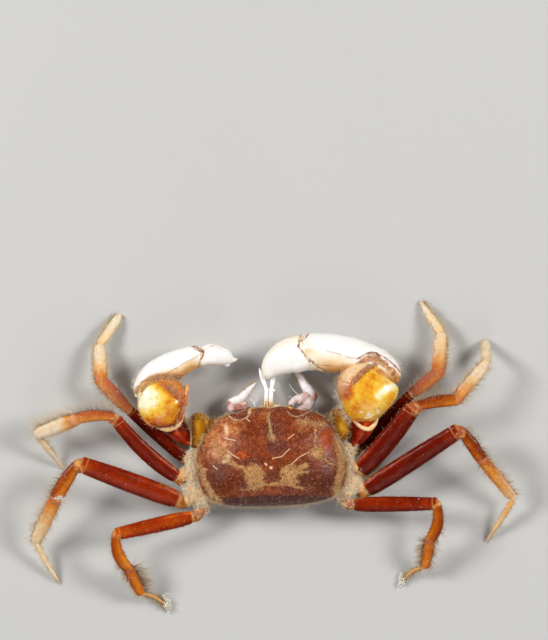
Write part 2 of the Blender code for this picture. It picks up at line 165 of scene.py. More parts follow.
class Tube(Surface):
    """A limb or claw: rows hold x, y, z, half breadth and half thickness along its middle line."""

    outward = 1.0

    def __init__(self, rows, roll=0.0, square=2.2, headings=None, relief=None, samples=400):
        rows = np.asarray(rows, float)
        gaps = np.linalg.norm(np.diff(rows[:, :3], axis=0), axis=1)
        knots = np.concatenate([[0], np.cumsum(gaps)])
        self.length = knots[-1]
        knots = knots / knots[-1]
        self.knots = knots
        self.t = np.linspace(0, 1, samples)
        self.middle = curve_through(knots, rows[:, :3], self.t)
        self.half = np.maximum(curve_through(knots, rows[:, 3:5], self.t), 0.004)
        way = unit(np.gradient(self.middle, self.t, axis=0))
        if headings is not None:
            level = np.radians(np.interp(self.t, knots, headings))
            flat = np.linalg.norm(way[:, :2], axis=1)
            way = np.stack([np.cos(level) * flat, np.sin(level) * flat, way[:, 2]], axis=1)
        self.way = way
        wide = unit(np.cross(way, [0, 0, 1.0]))
        thick = np.cross(wide, way)
        turn = np.radians(np.broadcast_to(np.interp(self.t, knots, np.broadcast_to(roll, knots.shape)), self.t.shape))
        c, s = np.cos(turn)[:, None], np.sin(turn)[:, None]
        self.wide, self.thick = wide * c - thick * s, thick * c + wide * s
        self.square = square
        self.relief = relief

    def read(self, array, v):
        return np.stack([np.interp(v, self.t, array[:, k]) for k in range(array.shape[1])], axis=-1)

    def place(self, u, v):
        a = 2 * np.pi * u
        c, s = np.cos(a), np.sin(a)
        x = np.sign(c) * np.abs(c) ** (2 / self.square)
        y = np.sign(s) * np.abs(s) ** (2 / self.square)
        half = self.read(self.half, v)
        grow = 1.0 if self.relief is None else 1 + self.relief(u, v)
        return (self.read(self.middle, v)
                + self.read(self.wide, v) * (half[:, 0] * x * grow)[:, None]
                + self.read(self.thick, v) * (half[:, 1] * y * grow)[:, None])


class Lump(Surface):
    """A plain rounded lump: centre and three half sizes."""
    outward = 1.0
    length = 3.0

    def __init__(self, centre, half, turn=0.0, relief=None):
        self.centre, self.half, self.turn, self.relief = np.array(centre, float), np.array(half, float), turn, relief

    def place(self, u, v):
        a, b = 2 * np.pi * u, np.pi * (np.clip(v, 0, 1) * 0.98 + 0.01)
        q = np.stack([np.sin(b) * np.cos(a), np.sin(b) * np.sin(a), np.cos(b)], axis=-1)
        grow = 1.0 if self.relief is None else (1 + self.relief(u, v))[..., None]
        return spin_z(q * self.half * grow, self.turn) + self.centre


def bump_at(u, centre, width):
    """A ridge along a tube at u = centre."""
    d = (u - centre + 0.5) % 1.0 - 0.5
    return np.exp(-(d / width) ** 2)


# ---------------------------------------------------------------- meshes


def mesh_object(name, points, quads, tris, material, floats=None, vectors=None):
    mesh = bpy.data.meshes.new(name)
    quads = np.zeros((0, 4), np.int64) if quads is None else quads
    tris = np.zeros((0, 3), np.int64) if tris is None else tris
    mesh.vertices.add(len(points))
    mesh.vertices.foreach_set("co", (points * MM).astype(np.float32).ravel())
    loops = np.concatenate([quads.ravel(), tris.ravel()]).astype(np.int32)
    mesh.loops.add(len(loops))
    mesh.loops.foreach_set("vertex_index", loops)
    mesh.polygons.add(len(quads) + len(tris))
    starts = np.concatenate([np.arange(len(quads)) * 4, len(quads) * 4 + np.arange(len(tris)) * 3])
    mesh.polygons.foreach_set("loop_start", starts.astype(np.int32))
    mesh.update(calc_edges=True)
    mesh.shade_smooth()
    for key, values in (floats or {}).items():
        layer = mesh.attributes.new(key, "FLOAT", "POINT")
        layer.data.foreach_set("value", np.asarray(values, np.float32))
    for key, values in (vectors or {}).items():
        layer = mesh.attributes.new(key, "FLOAT_VECTOR", "POINT")
        layer.data.foreach_set("vector", np.asarray(values, np.float32).ravel())
    obj = bpy.data.objects.new(name, mesh)
    bpy.context.scene.collection.objects.link(obj)
    mesh.materials.append(material)
    return obj


def skin_piece(name, surface, material, node, around=64, along=96, spread=0.6, marks=None,
               shape=None):
    """Makes a surface into a piece that stands for a node. marks gives its named float layers."""
    points, quads, tris, u, v = surface.grid(around, along, spread)
    if shape is not None:
        points = points + shape(u, v, points)
    points[:, 2] = np.maximum(points[:, 2], 0.0)
    floats = {"along": v, "round": u}
    if marks is not None:
        floats.update(marks(u, v, points))
    length = getattr(surface, "length", 1.0)
    girth = getattr(surface, "girth", 3.0)
    flow = np.stack([np.abs(u - 0.5) * 2 * girth, v * length, np.zeros_like(u)], axis=-1)
    obj = mesh_object(name, points, quads, tris, material, floats, {"flow": flow})
    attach(obj, "root")
    if node:
        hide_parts(*([node] if isinstance(node, str) else node))
    return obj


class Coat:
    """Hairs gathered over some surfaces, then made into one mesh of thin closed spikes."""

    def __init__(self, name, material, slot, islands):
        self.name, self.material, self.slot = name, material, slot
        self.columns = math.ceil(math.sqrt(islands))
        self.count = 0
        self.parts = []

    def add(self, root, way, bend, length, radius, tone, u, v):
        cell = self.count
        self.count += 1
        size = 1.0 / self.columns
        corner = np.array([cell % self.columns, cell // self.columns]) * size
        uv = corner + (0.02 + 0.96 * np.stack([np.mod(u, 1.0), v], axis=-1)) * size
        n = len(root)
        self.parts.append([root, way, bend, np.broadcast_to(length, n), np.broadcast_to(radius, n),
                           np.broadcast_to(tone, n), uv])

    def build(self, rings=3, floor=0.03):
        root, way, bend, length, radius, tone, uv = (np.concatenate(c) for c in zip(*self.parts))
        n = len(root)
        shares = np.linspace(0, 1, rings + 1)
        ref = unit(rng.normal(size=(n, 3)))
        points = []
        for k in range(rings):
            t = shares[k]
            spot = root + (way * t + bend * t * t) * length[:, None]
            ahead = unit(way + 2 * bend * t)
            side = unit(np.cross(ahead, ref))
            other = np.cross(ahead, side)
            r = (radius * (1 - t) ** 0.55)[:, None]
            for j in range(3):
                a = 2 * math.pi * j / 3
                points.append(spot + r * (math.cos(a) * side + math.sin(a) * other))
        points.append(root + (way + bend) * length[:, None])
        points = np.stack(points, axis=1)
        points[..., 2] = np.maximum(points[..., 2], floor)
        tris, maps = [], []
        for k in range(rings - 1):
            for j in range(3):
                a, b = k * 3 + j, k * 3 + (j + 1) % 3
                c, d = a + 3, b + 3
                tris += [(a, b, d), (a, d, c)]
                maps += [((j, k), (j + 1, k), (j + 1, k + 1)), ((j, k), (j + 1, k + 1), (j, k + 1))]
        top = rings * 3
        for j in range(3):
            a, b = (rings - 1) * 3 + j, (rings - 1) * 3 + (j + 1) % 3
            tris.append((a, b, top))
            maps.append(((j, rings - 1), (j + 1, rings - 1), (j + 0.5, rings)))
        tris.append((0, 2, 1))
        maps.append(((0, 0), (1.5, -0.6), (3, 0)))
        tris = np.array(tris)
        maps = np.array(maps, float) / np.array([3.0, rings])
        each = points.shape[1]
        faces = (tris[None] + (np.arange(n) * each)[:, None, None]).reshape(-1, 3)
        tones = np.repeat(tone, each)
        ends = np.tile(np.append(np.repeat(shares[:rings], 3), 1.0), n)
        obj = mesh_object(self.name, points.reshape(-1, 3), None, faces, self.material,
                          {"tone": tones, "tip": ends})
        layer = obj.data.uv_layers.new(name="OFBake")
        patch = uv[:, None, None, :] + (maps[None] - 0.5) * 0.003
        layer.data.foreach_set("uv", np.clip(patch, 0, 1).astype(np.float32).ravel())
        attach(obj, "root")
        print(self.name, n, "hairs", len(faces), "triangles")
        return obj


def scatter(surface, count, density=None, u_range=(0, 1), v_range=(0, 1)):
    """Random places on a surface, even by area and thinned by density(u, v, points)."""
    found_u, found_v, total = [], [], 0
    for _ in range(40):
        n = max(2000, count * 2)
        u = rng.uniform(u_range[0], u_range[1], n)
        v = rng.uniform(v_range[0], v_range[1], n)
        p, normal, du, dv, area = surface.frame(u, v)
        keep = area / max(area.max(), 1e-9)
        if density is not None:
            keep = keep * density(u, v, p)
        take = rng.uniform(0, 1, n) < keep
        found_u.append(u[take])
        found_v.append(v[take])
        total += take.sum()
        if total >= count:
            break
    u, v = np.concatenate(found_u)[:count], np.concatenate(found_v)[:count]
    return u, v


def comb(surface, u, v, lift, sweep, swirl=0.0, jitter=0.3):
    """Hair directions: lift is how far they stand off the surface, sweep how far they lie along it."""
    p, n, du, dv, _ = surface.frame(u, v)
    count = len(u)
    lift = np.broadcast_to(lift, count)[:, None]
    sweep = np.broadcast_to(sweep, count)[:, None]
    swirl = np.broadcast_to(swirl, count)[:, None]
    way = n * lift + dv * sweep + du * swirl
    way = way + rng.normal(size=(count, 3)) * jitter * np.maximum(lift, 0.35)
    return p, n, du, dv, unit(way)


# ---------------------------------------------------------------- material building


class Paint:
    """A node material built up by short calls; each call gives the socket it made."""

    def __init__(self, name):
        self.material = bpy.data.materials.new(name)
        self.material.use_nodes = True
        self.tree = self.material.node_tree
        self.shader = self.tree.nodes["Principled BSDF"]
        self.coords = None

    def node(self, kind, **settings):
        made = self.tree.nodes.new(kind)
        for key, value in settings.items():
            setattr(made, key, value)
        return made

    def feed(self, socket, value):
        if isinstance(value, bpy.types.NodeSocket):
            self.tree.links.new(value, socket)
        elif isinstance(value, (tuple, list)) and socket.type == "RGBA" and len(value) == 3:
            socket.default_value = (*value, 1.0)
        else:
            socket.default_value = value

    def place(self):
        if self.coords is None:
            self.coords = self.node("ShaderNodeTexCoord").outputs["Object"]
        return self.coords

    def attr(self, name, vector=False):
        made = self.node("ShaderNodeAttribute", attribute_name=name)
        return made.outputs["Vector" if vector else "Fac"]

    def stretch(self, vector, scale):
        made = self.node("ShaderNodeMapping")
        self.feed(made.inputs["Vector"], vector)
        made.inputs["Scale"].default_value = scale
        return made.outputs["Vector"]

    def noise(self, size, detail=3.0, vector=None, rough=0.55, warp=0.0):
        """Noise with blobs of about size millimetres (or size in the vector's own units)."""
        made = self.node("ShaderNodeTexNoise")
        self.feed(made.inputs["Vector"], self.place() if vector is None else vector)
        made.inputs["Scale"].default_value = (1.0 / (size * MM)) if vector is None else 1.0 / size
        made.inputs["Detail"].default_value = detail
        made.inputs["Roughness"].default_value = rough
        made.inputs["Distortion"].default_value = warp
        return made.outputs["Fac"]

    def cells(self, size, feature="F1", vector=None):
        made = self.node("ShaderNodeTexVoronoi", feature=feature)
        self.feed(made.inputs["Vector"], self.place() if vector is None else vector)
        made.inputs["Scale"].default_value = (1.0 / (size * MM)) if vector is None else 1.0 / size
        return made.outputs["Distance"]

    def math(self, operation, a, b=0.0, clamp=False):
        made = self.node("ShaderNodeMath", operation=operation, use_clamp=clamp)
        self.feed(made.inputs[0], a)
        self.feed(made.inputs[1], b)
        return made.outputs[0]

    def span(self, value, low, high, out_low=0.0, out_high=1.0):
        made = self.node("ShaderNodeMapRange", interpolation_type="SMOOTHSTEP")
        self.feed(made.inputs["Value"], value)
        made.inputs["From Min"].default_value = low
        made.inputs["From Max"].default_value = high
        made.inputs["To Min"].default_value = out_low
        made.inputs["To Max"].default_value = out_high
        return made.outputs["Result"]

    def mix(self, fac, a, b, blend="MIX"):
        made = self.node("ShaderNodeMix", data_type="RGBA", blend_type=blend)
        self.feed(made.inputs[0], fac)
        self.feed(made.inputs[6], a)
        self.feed(made.inputs[7], b)
        return made.outputs[2]

    def ramp(self, fac, stops):
        made = self.node("ShaderNodeValToRGB")
        self.feed(made.inputs["Fac"], fac)
        elements = made.color_ramp.elements
        while len(elements) > len(stops):
            elements.remove(elements[-1])
        while len(elements) < len(stops):
            elements.new(0.5)
        for element, (at, colour) in zip(elements, stops):
            element.position = at
            element.color = (*colour, 1.0)
        return made.outputs["Color"]

    def bump(self, height, depth, strength=1.0, normal=None):
        """Bump of depth millimetres."""
        made = self.node("ShaderNodeBump")
        made.inputs["Strength"].default_value = strength
        made.inputs["Distance"].default_value = depth * MM
        self.feed(made.inputs["Height"], height)
        if normal is not None:
            self.feed(made.inputs["Normal"], normal)
        return made.outputs["Normal"]

    def finish(self, colour, roughness, normal=None, coat=0.0, coat_rough=0.1, glow=0.0,
               glow_radius=(1.0, 0.45, 0.25), glow_scale=0.3, sheen=0.0, specular=0.5, ior=1.5,
               sheen_tint=(1, 1, 1), through=0.0, coat_ior=1.5):
        s = self.shader.inputs
        self.feed(s["Base Color"], colour)
        self.feed(s["Roughness"], roughness)
        if normal is not None:
            self.feed(s["Normal"], normal)
            if coat:
                self.feed(s["Coat Normal"], normal)
        s["IOR"].default_value = ior
        s["Specular IOR Level"].default_value = specular
        s["Coat Weight"].default_value = coat
        s["Coat Roughness"].default_value = coat_rough
        s["Coat IOR"].default_value = coat_ior
        s["Subsurface Weight"].default_value = glow
        s["Subsurface Radius"].default_value = glow_radius
        s["Subsurface Scale"].default_value = glow_scale * MM
        s["Sheen Weight"].default_value = sheen
        s["Sheen Tint"].default_value = (*sheen_tint, 1.0)
        s["Transmission Weight"].default_value = through
        return self.material


def rgb(r, g, b):
    """A colour given as it looks on a screen, 0 to 255, turned into scene light."""
    return tuple(((c / 255) / 12.92) if c <= 10 else (((c / 255) + 0.055) / 1.055) ** 2.4 for c in (r, g, b))


# ---------------------------------------------------------------- materials

RED_DARK = rgb(62, 8, 2)
TAN = rgb(218, 168, 102)
CREAM = rgb(228, 200, 148)


def shell_material(name, stops, gloss=0.3, highlight_streak=0.5, felt_colour=CREAM, speck=0.5, coat=0.35, glow=0.12,
                   mottle=(0.9, 0.22), dark=RED_DARK, dark_amount=0.45, grain=0.012, rim_colour=TAN, soft=0.0, felt_root=None):
    """Shell: a colour that changes along the piece, streaks, darker clouds, specks, and felt where it grows. The orange
    streaks are painted highlights.
    """
    m = Paint(name)
    flow = m.attr("flow", vector=True)
    tone = m.attr("tone")
    cloud = m.noise(mottle[0], 4, rough=0.6)
    fine = m.noise(mottle[1], 4, rough=0.65)
    streaks = m.noise(0.16, 3, vector=m.stretch(flow, (1.0, 0.16, 1.0)))
    shift = m.math("ADD", tone, m.math("MULTIPLY", m.math("SUBTRACT", cloud, 0.5), 0.34))
    shift = m.math("ADD", shift, m.math("MULTIPLY", m.math("SUBTRACT", fine, 0.5), 0.2))
    colour = m.ramp(shift, stops)
    darker = m.math("MULTIPLY", m.span(m.math("ADD", cloud, m.math("MULTIPLY", streaks, 0.4)), 0.62, 0.86), dark_amount)
    colour = m.mix(darker, colour, dark)
    # painted highlight: orange streaks mixed into the shell colour
    colour = m.mix(m.math("MULTIPLY", m.span(streaks, 0.5, 0.72), 0.26 * highlight_streak), colour, rgb(206, 104, 26))
    side_tint = m.math("MULTIPLY", m.attr("pink"), m.span(m.noise(0.14, 4, rough=0.7), 0.35, 0.6, 0.35, 1.0))
    colour = m.mix(side_tint, colour, rgb(172, 104, 92))
    rim = m.attr("rim")
    rim_noise = m.math("MULTIPLY", rim, m.span(m.noise(0.12, 3), 0.25, 0.6, 0.55, 1.0))
    colour = m.mix(rim_noise, colour, rim_colour)
    dots = m.cells(0.2)
    dot_mask = m.math("MULTIPLY", m.span(dots, 0.2, 0.1), m.span(m.noise(0.5, 3), 0.55, 0.68))
    colour = m.mix(m.math("MULTIPLY", dot_mask, speck), colour, rgb(238, 214, 190))
    felt = m.attr("felt")
    ragged = m.span(m.math("ADD", felt, m.math("MULTIPLY", m.math("SUBTRACT", m.noise(0.13, 4, rough=0.7), 0.5), 0.7)), 0.36 - soft, 0.62 + soft)
    fibre = m.noise(0.06, 4, rough=0.75)
    felt_tint = m.mix(m.span(fibre, 0.35, 0.7), felt_root or tuple(c * 0.55 for c in felt_colour), felt_colour)
    colour = m.mix(m.math("MULTIPLY", ragged, 0.92), colour, felt_tint)
    roughness = m.math("ADD", m.math("MULTIPLY", m.noise(0.35, 3), 0.22), gloss - 0.08)
    roughness = m.math("ADD", roughness, m.math("MULTIPLY", ragged, 0.5), clamp=True)
    pits = m.span(m.cells(0.13), 0.0, 0.4)
    height = m.math("ADD", m.math("MULTIPLY", pits, 0.5), m.math("MULTIPLY", m.noise(0.07, 4), 0.6))
    normal = m.bump(height, grain)
    normal = m.bump(m.math("MULTIPLY", fibre, ragged), 0.05, normal=normal)
    normal = m.bump(cloud, 0.04, normal=normal)
    return m.finish(colour, roughness, normal, coat=coat * 0.6, coat_rough=0.09, glow=glow,
                    glow_radius=(1.0, 0.25, 0.05), glow_scale=0.25, specular=0.15, ior=1.3, coat_ior=1.38)


def felt_material(name, low, high, tip=None, sheen=0.3):
    """Hairs: darker at the root, paler at the tip, each tuft a little different."""
    m = Paint(name)
    tone, tip_at = m.attr("tone"), m.attr("tip")
    colour = m.mix(tone, low, high)
    colour = m.mix(m.math("MULTIPLY", tip_at, 0.6), colour, tip or high)
    root = m.math("MULTIPLY", m.span(tip_at, 0.3, 0.0), 0.15)
    colour = m.mix(root, colour, tuple(c * 0.6 for c in low))
    grime = m.span(m.noise(0.4, 3), 0.55, 0.75)
    colour = m.mix(m.math("MULTIPLY", grime, 0.25), colour, tuple(c * 0.7 for c in low))
    return m.finish(colour, 0.62, sheen=sheen, glow=0.1, glow_scale=0.05, specular=0.35)


M = {}
M["merus"] = shell_material("shell_merus", [(0.0, rgb(58, 4, 0)), (0.3, rgb(108, 14, 0)), (0.6, rgb(158, 44, 2)), (0.85, rgb(200, 88, 12)), (1.0, rgb(228, 138, 42))],
                            gloss=0.24, coat=0.24, speck=0.4, dark_amount=0.45)
M["carpus"] = shell_material("shell_carpus", [(0.0, rgb(92, 24, 2)), (0.3, rgb(138, 50, 4)), (0.6, rgb(186, 92, 10)), (0.85, rgb(226, 142, 34)), (1.0, rgb(242, 184, 92))],
                             gloss=0.25, coat=0.45, speck=0.2, dark=rgb(104, 30, 4), dark_amount=0.4, soft=0.16, felt_root=rgb(200, 130, 80))
M["propodus"] = shell_material("shell_propodus", [(0.0, rgb(150, 62, 6)), (0.28, rgb(198, 102, 14)), (0.5, rgb(224, 144, 44)), (0.74, rgb(236, 190, 116)), (1.0, rgb(250, 238, 214))],
                               gloss=0.33, coat=0.35, speck=0.3, dark=rgb(150, 62, 8), dark_amount=0.35, felt_colour=rgb(255, 247, 228), soft=0.16, felt_root=rgb(236, 196, 140))
M["dactylus"] = shell_material("shell_dactylus", [(0.0, rgb(196, 106, 28)), (0.35, rgb(224, 160, 78)), (0.7, rgb(242, 208, 148)), (1.0, rgb(254, 246, 226))], gloss=0.42,
                               coat=0.15, speck=0.2, dark=rgb(190, 104, 30), dark_amount=0.2, felt_colour=rgb(255, 246, 222), glow=0.25, soft=0.16, felt_root=rgb(238, 202, 146))
M["base"] = shell_material("shell_base", [(0.0, rgb(146, 84, 22)), (0.3, rgb(204, 144, 66)), (0.6, rgb(242, 204, 146)), (1.0, rgb(255, 246, 226))], gloss=0.45, coat=0.1,
                           speck=0.2, dark=rgb(176, 104, 62), dark_amount=0.35, felt_colour=rgb(255, 234, 194), glow=0.2, felt_root=rgb(232, 184, 124))
M["olive"] = shell_material("shell_olive", [(0.0, rgb(70, 26, 2)), (0.35, rgb(118, 64, 4)), (0.62, rgb(168, 108, 8)), (1.0, rgb(214, 162, 46))],
                            gloss=0.24, coat=0.4, speck=0.1, dark=rgb(84, 34, 8), dark_amount=0.35, glow=0.3)
M["hair_gold"] = felt_material("hair_gold", rgb(106, 70, 28), rgb(218, 190, 138), rgb(238, 220, 182))
M["hair_white"] = felt_material("hair_white", rgb(240, 186, 120), rgb(255, 250, 236), rgb(255, 252, 242))
M["hair_wool"] = felt_material("hair_wool", rgb(255, 206, 142), rgb(255, 242, 210), rgb(255, 252, 236), sheen=0.5)
M["felt"] = felt_material("felt_tan", rgb(192, 130, 66), rgb(244, 206, 144), rgb(255, 230, 184))


# ---------------------------------------------------------------- walking legs

# where each leg's base leaves the breastplate, then length, heading and rise of base, merus,
# carpus, propodus and dactylus, and the breadth of the last four
LEGS = {
    "leg_right_1": ((4.95, 1.46, 1.68), (3.15, -5.5, 2.2), (7.2, 46.3, 7.2), (3.3, 38.0, -3.5),
                    (3.88, 84.7, -14.5), (3.88, 123.1, -21.5), (1.15, 1.1, 1.12, 0.78)),
    "leg_right_2": ((5.0, 0.42, 2.08), (3.65, -16.4, 8.4), (7.61, 50.3, 16.8), (4.2, 11.5, -6.8),
                    (4.7, 50.4, -11.0), (3.9, 88.9, -58.9), (1.84, 1.0, 1.0, 0.7)),
    "leg_right_3": ((4.9, -0.95, 2.22), (4.34, -22.4, 5.0), (10.4, 33.1, 12.7), (3.55, -49.3, -11.4),
                    (5.35, -50.6, -24.2), (5.25, -121.9, -21.0), (1.74, 1.06, 1.0, 0.58)),
    "leg_right_4": ((4.35, -2.05, 2.26), (3.8, -31.2, 2.1), (7.94, 1.0, 10.9), (3.45, -98.4, -13.4),
                    (3.27, -99.9, -29.4), (3.0, -143.2, -27.0), (1.36, 1.14, 1.08, 0.5)),
    "leg_left_1": ((-5.05, 1.56, 1.68), (3.35, -155.0, 2.1), (7.05, 138.6, 6.5), (3.95, 134.1, -2.9),
                   (3.5, 93.7, -16.4), (3.75, 55.6, -21.0), (1.15, 1.12, 1.08, 0.74)),
    "leg_left_2": ((-5.05, 0.66, 2.08), (4.38, -150.6, 7.2), (8.17, 136.5, 15.6), (3.95, 178.8, -7.2),
                   (4.25, -159.2, -20.7), (4.9, -53.3, -33.0), (1.4, 1.14, 1.36, 0.6)),
    "leg_left_3": ((-5.15, -0.7, 2.2), (4.4, -135.0, 4.8), (10.5, 159.3, 12.6), (4.01, -127.8, -10.2),
                   (5.15, -116.0, -25.4), (5.0, -61.3, -23.5), (1.8, 1.16, 1.14, 0.6)),
    "leg_left_4": ((-4.3, -1.95, 2.26), (4.2, -131.6, 1.8), (7.85, -167.6, 11.0), (3.53, -71.2, -14.0),
                   (3.2, -64.9, -29.8), (3.2, -31.4, -24.0), (1.34, 1.12, 1.1, 0.5)),
}
DACTYL_BOW = {"leg_right_4": 0.42, "leg_left_4": -0.42, "leg_left_3": 0.1, "leg_right_3": -0.08}
CARPUS_BOW = {"leg_right_4": -0.46, "leg_left_4": 0.46, "leg_left_2": 0.3, "leg_left_3": 0.1, "leg_right_3": -0.08, "leg_right_2": -0.2}
# how far the merus starts beyond the end of the base
MERUS_BOW = {"leg_right_2": 0.17, "leg_left_2": -0.36}
CARPUS_START = {"leg_right_3": (0.24, 0.14), "leg_left_3": (-0.3, 0.12), "leg_left_2": (-0.05, 0.3), "leg_right_2": (0.0, 0.1)}
MERUS_GAP = {"leg_right_2": -0.5, "leg_right_3": -0.3, "leg_right_4": -0.1, "leg_left_2": -0.12, "leg_left_3": 0.42, "leg_left_4": 0.28, "leg_left_1": 0.1}

# shares of the breadth along each length, from its near end to its far end
MERUS_SHAPE = ((-0.014, 0.12), (0.0, 0.52), (0.025, 0.76), (0.1, 0.93), (0.3, 1.0), (0.62, 0.97), (0.85, 0.87),
               (0.955, 0.82), (0.965, 0.79), (0.975, 0.82), (1.0, 0.8), (1.022, 0.62), (1.03, 0.2))
CARPUS_SHAPE = ((-0.06, 0.1), (-0.045, 0.46), (-0.02, 0.66), (0.05, 0.74), (0.2, 0.85), (0.5, 1.0), (0.8, 1.01), (0.94, 0.96),
                (0.985, 0.82), (1.01, 0.56), (1.025, 0.15))
PROPODUS_SHAPE = ((-0.05, 0.1), (-0.035, 0.5), (0.0, 0.8), (0.06, 0.94), (0.12, 0.99), (0.3, 1.02), (0.6, 0.98), (0.85, 0.87), (0.95, 0.76),
                  (0.99, 0.62), (1.01, 0.42), (1.02, 0.12))
DACTYL_SHAPE = ((-0.03, 0.1), (0.0, 0.62), (0.06, 0.86), (0.2, 0.96), (0.5, 0.8), (0.8, 0.55), (0.93, 0.36),
                (0.985, 0.2), (1.0, 0.08))
BLUNT_SHAPE = ((-0.03, 0.1), (0.0, 0.6), (0.06, 0.8), (0.2, 0.92), (0.45, 1.0), (0.7, 0.96), (0.86, 0.82), (0.94, 0.62),
               (0.985, 0.36), (1.0, 0.1))
# how far each leg's outer lengths have faded from orange to white felt: carpus, propodus, dactylus
WHITENING = {"leg_right_1": (0.3, 0.62, 0.9), "leg_right_2": (0.25, 0.75, 0.95), "leg_right_3": (0.05, 0.42, 0.45),
             "leg_right_4": (0.0, 0.12, 0.3), "leg_left_1": (0.3, 0.78, 0.9), "leg_left_2": (0.25, 1.0, 1.0),
             "leg_left_3": (0.05, 0.62, 0.85), "leg_left_4": (0.05, 0.12, 0.3)}
DARKNESS = {"leg_right_1": 0.18, "leg_right_2": 0.14, "leg_right_3": 0.15, "leg_right_4": 0.08, "leg_left_1": 0.18,
            "leg_left_2": 0.06, "leg_left_3": 0.0, "leg_left_4": -0.16}


def limb_rows(start, end, shape, breadth, thickness, bow, wide, thin_power=0.6):
    rows = []
    for t, share in shape:
        middle = start + (end - start) * t + wide * (bow * 4 * max(t, 0) * max(1 - t, 0))
        rows.append([*middle, breadth / 2 * share, thickness / 2 * share ** thin_power])
    return rows


def limb_tube(start, end, shape, breadth, thickness, roll, bow=0.0, relief=None, square=2.1):
    way = unit(end - start)
    flat = unit(np.cross(way, [0, 0, 1.0]))
    up = np.cross(flat, way)
    a = math.radians(roll)
    wide = flat * math.cos(a) - up * math.sin(a)
    tube = Tube(limb_rows(start, end, shape, breadth, thickness, bow, wide), roll=roll, square=square, relief=relief)
    tube.girth = breadth * 1.3
    return tube


leg_tubes = {}


def merus_relief(front):
    def relief(u, v):
        ridge = 0.055 * bump_at(u, 0.25 + (0.13 if front > 0 else -0.13), 0.045) * fade(v, 0.04, 0.2) * fade(v, 1.0, 0.86)
        edge = 0.04 * (bump_at(u, 0.0, 0.03) + bump_at(u, 0.5, 0.03)) * fade(v, 0.03, 0.12)
        return ridge + edge
    return relief


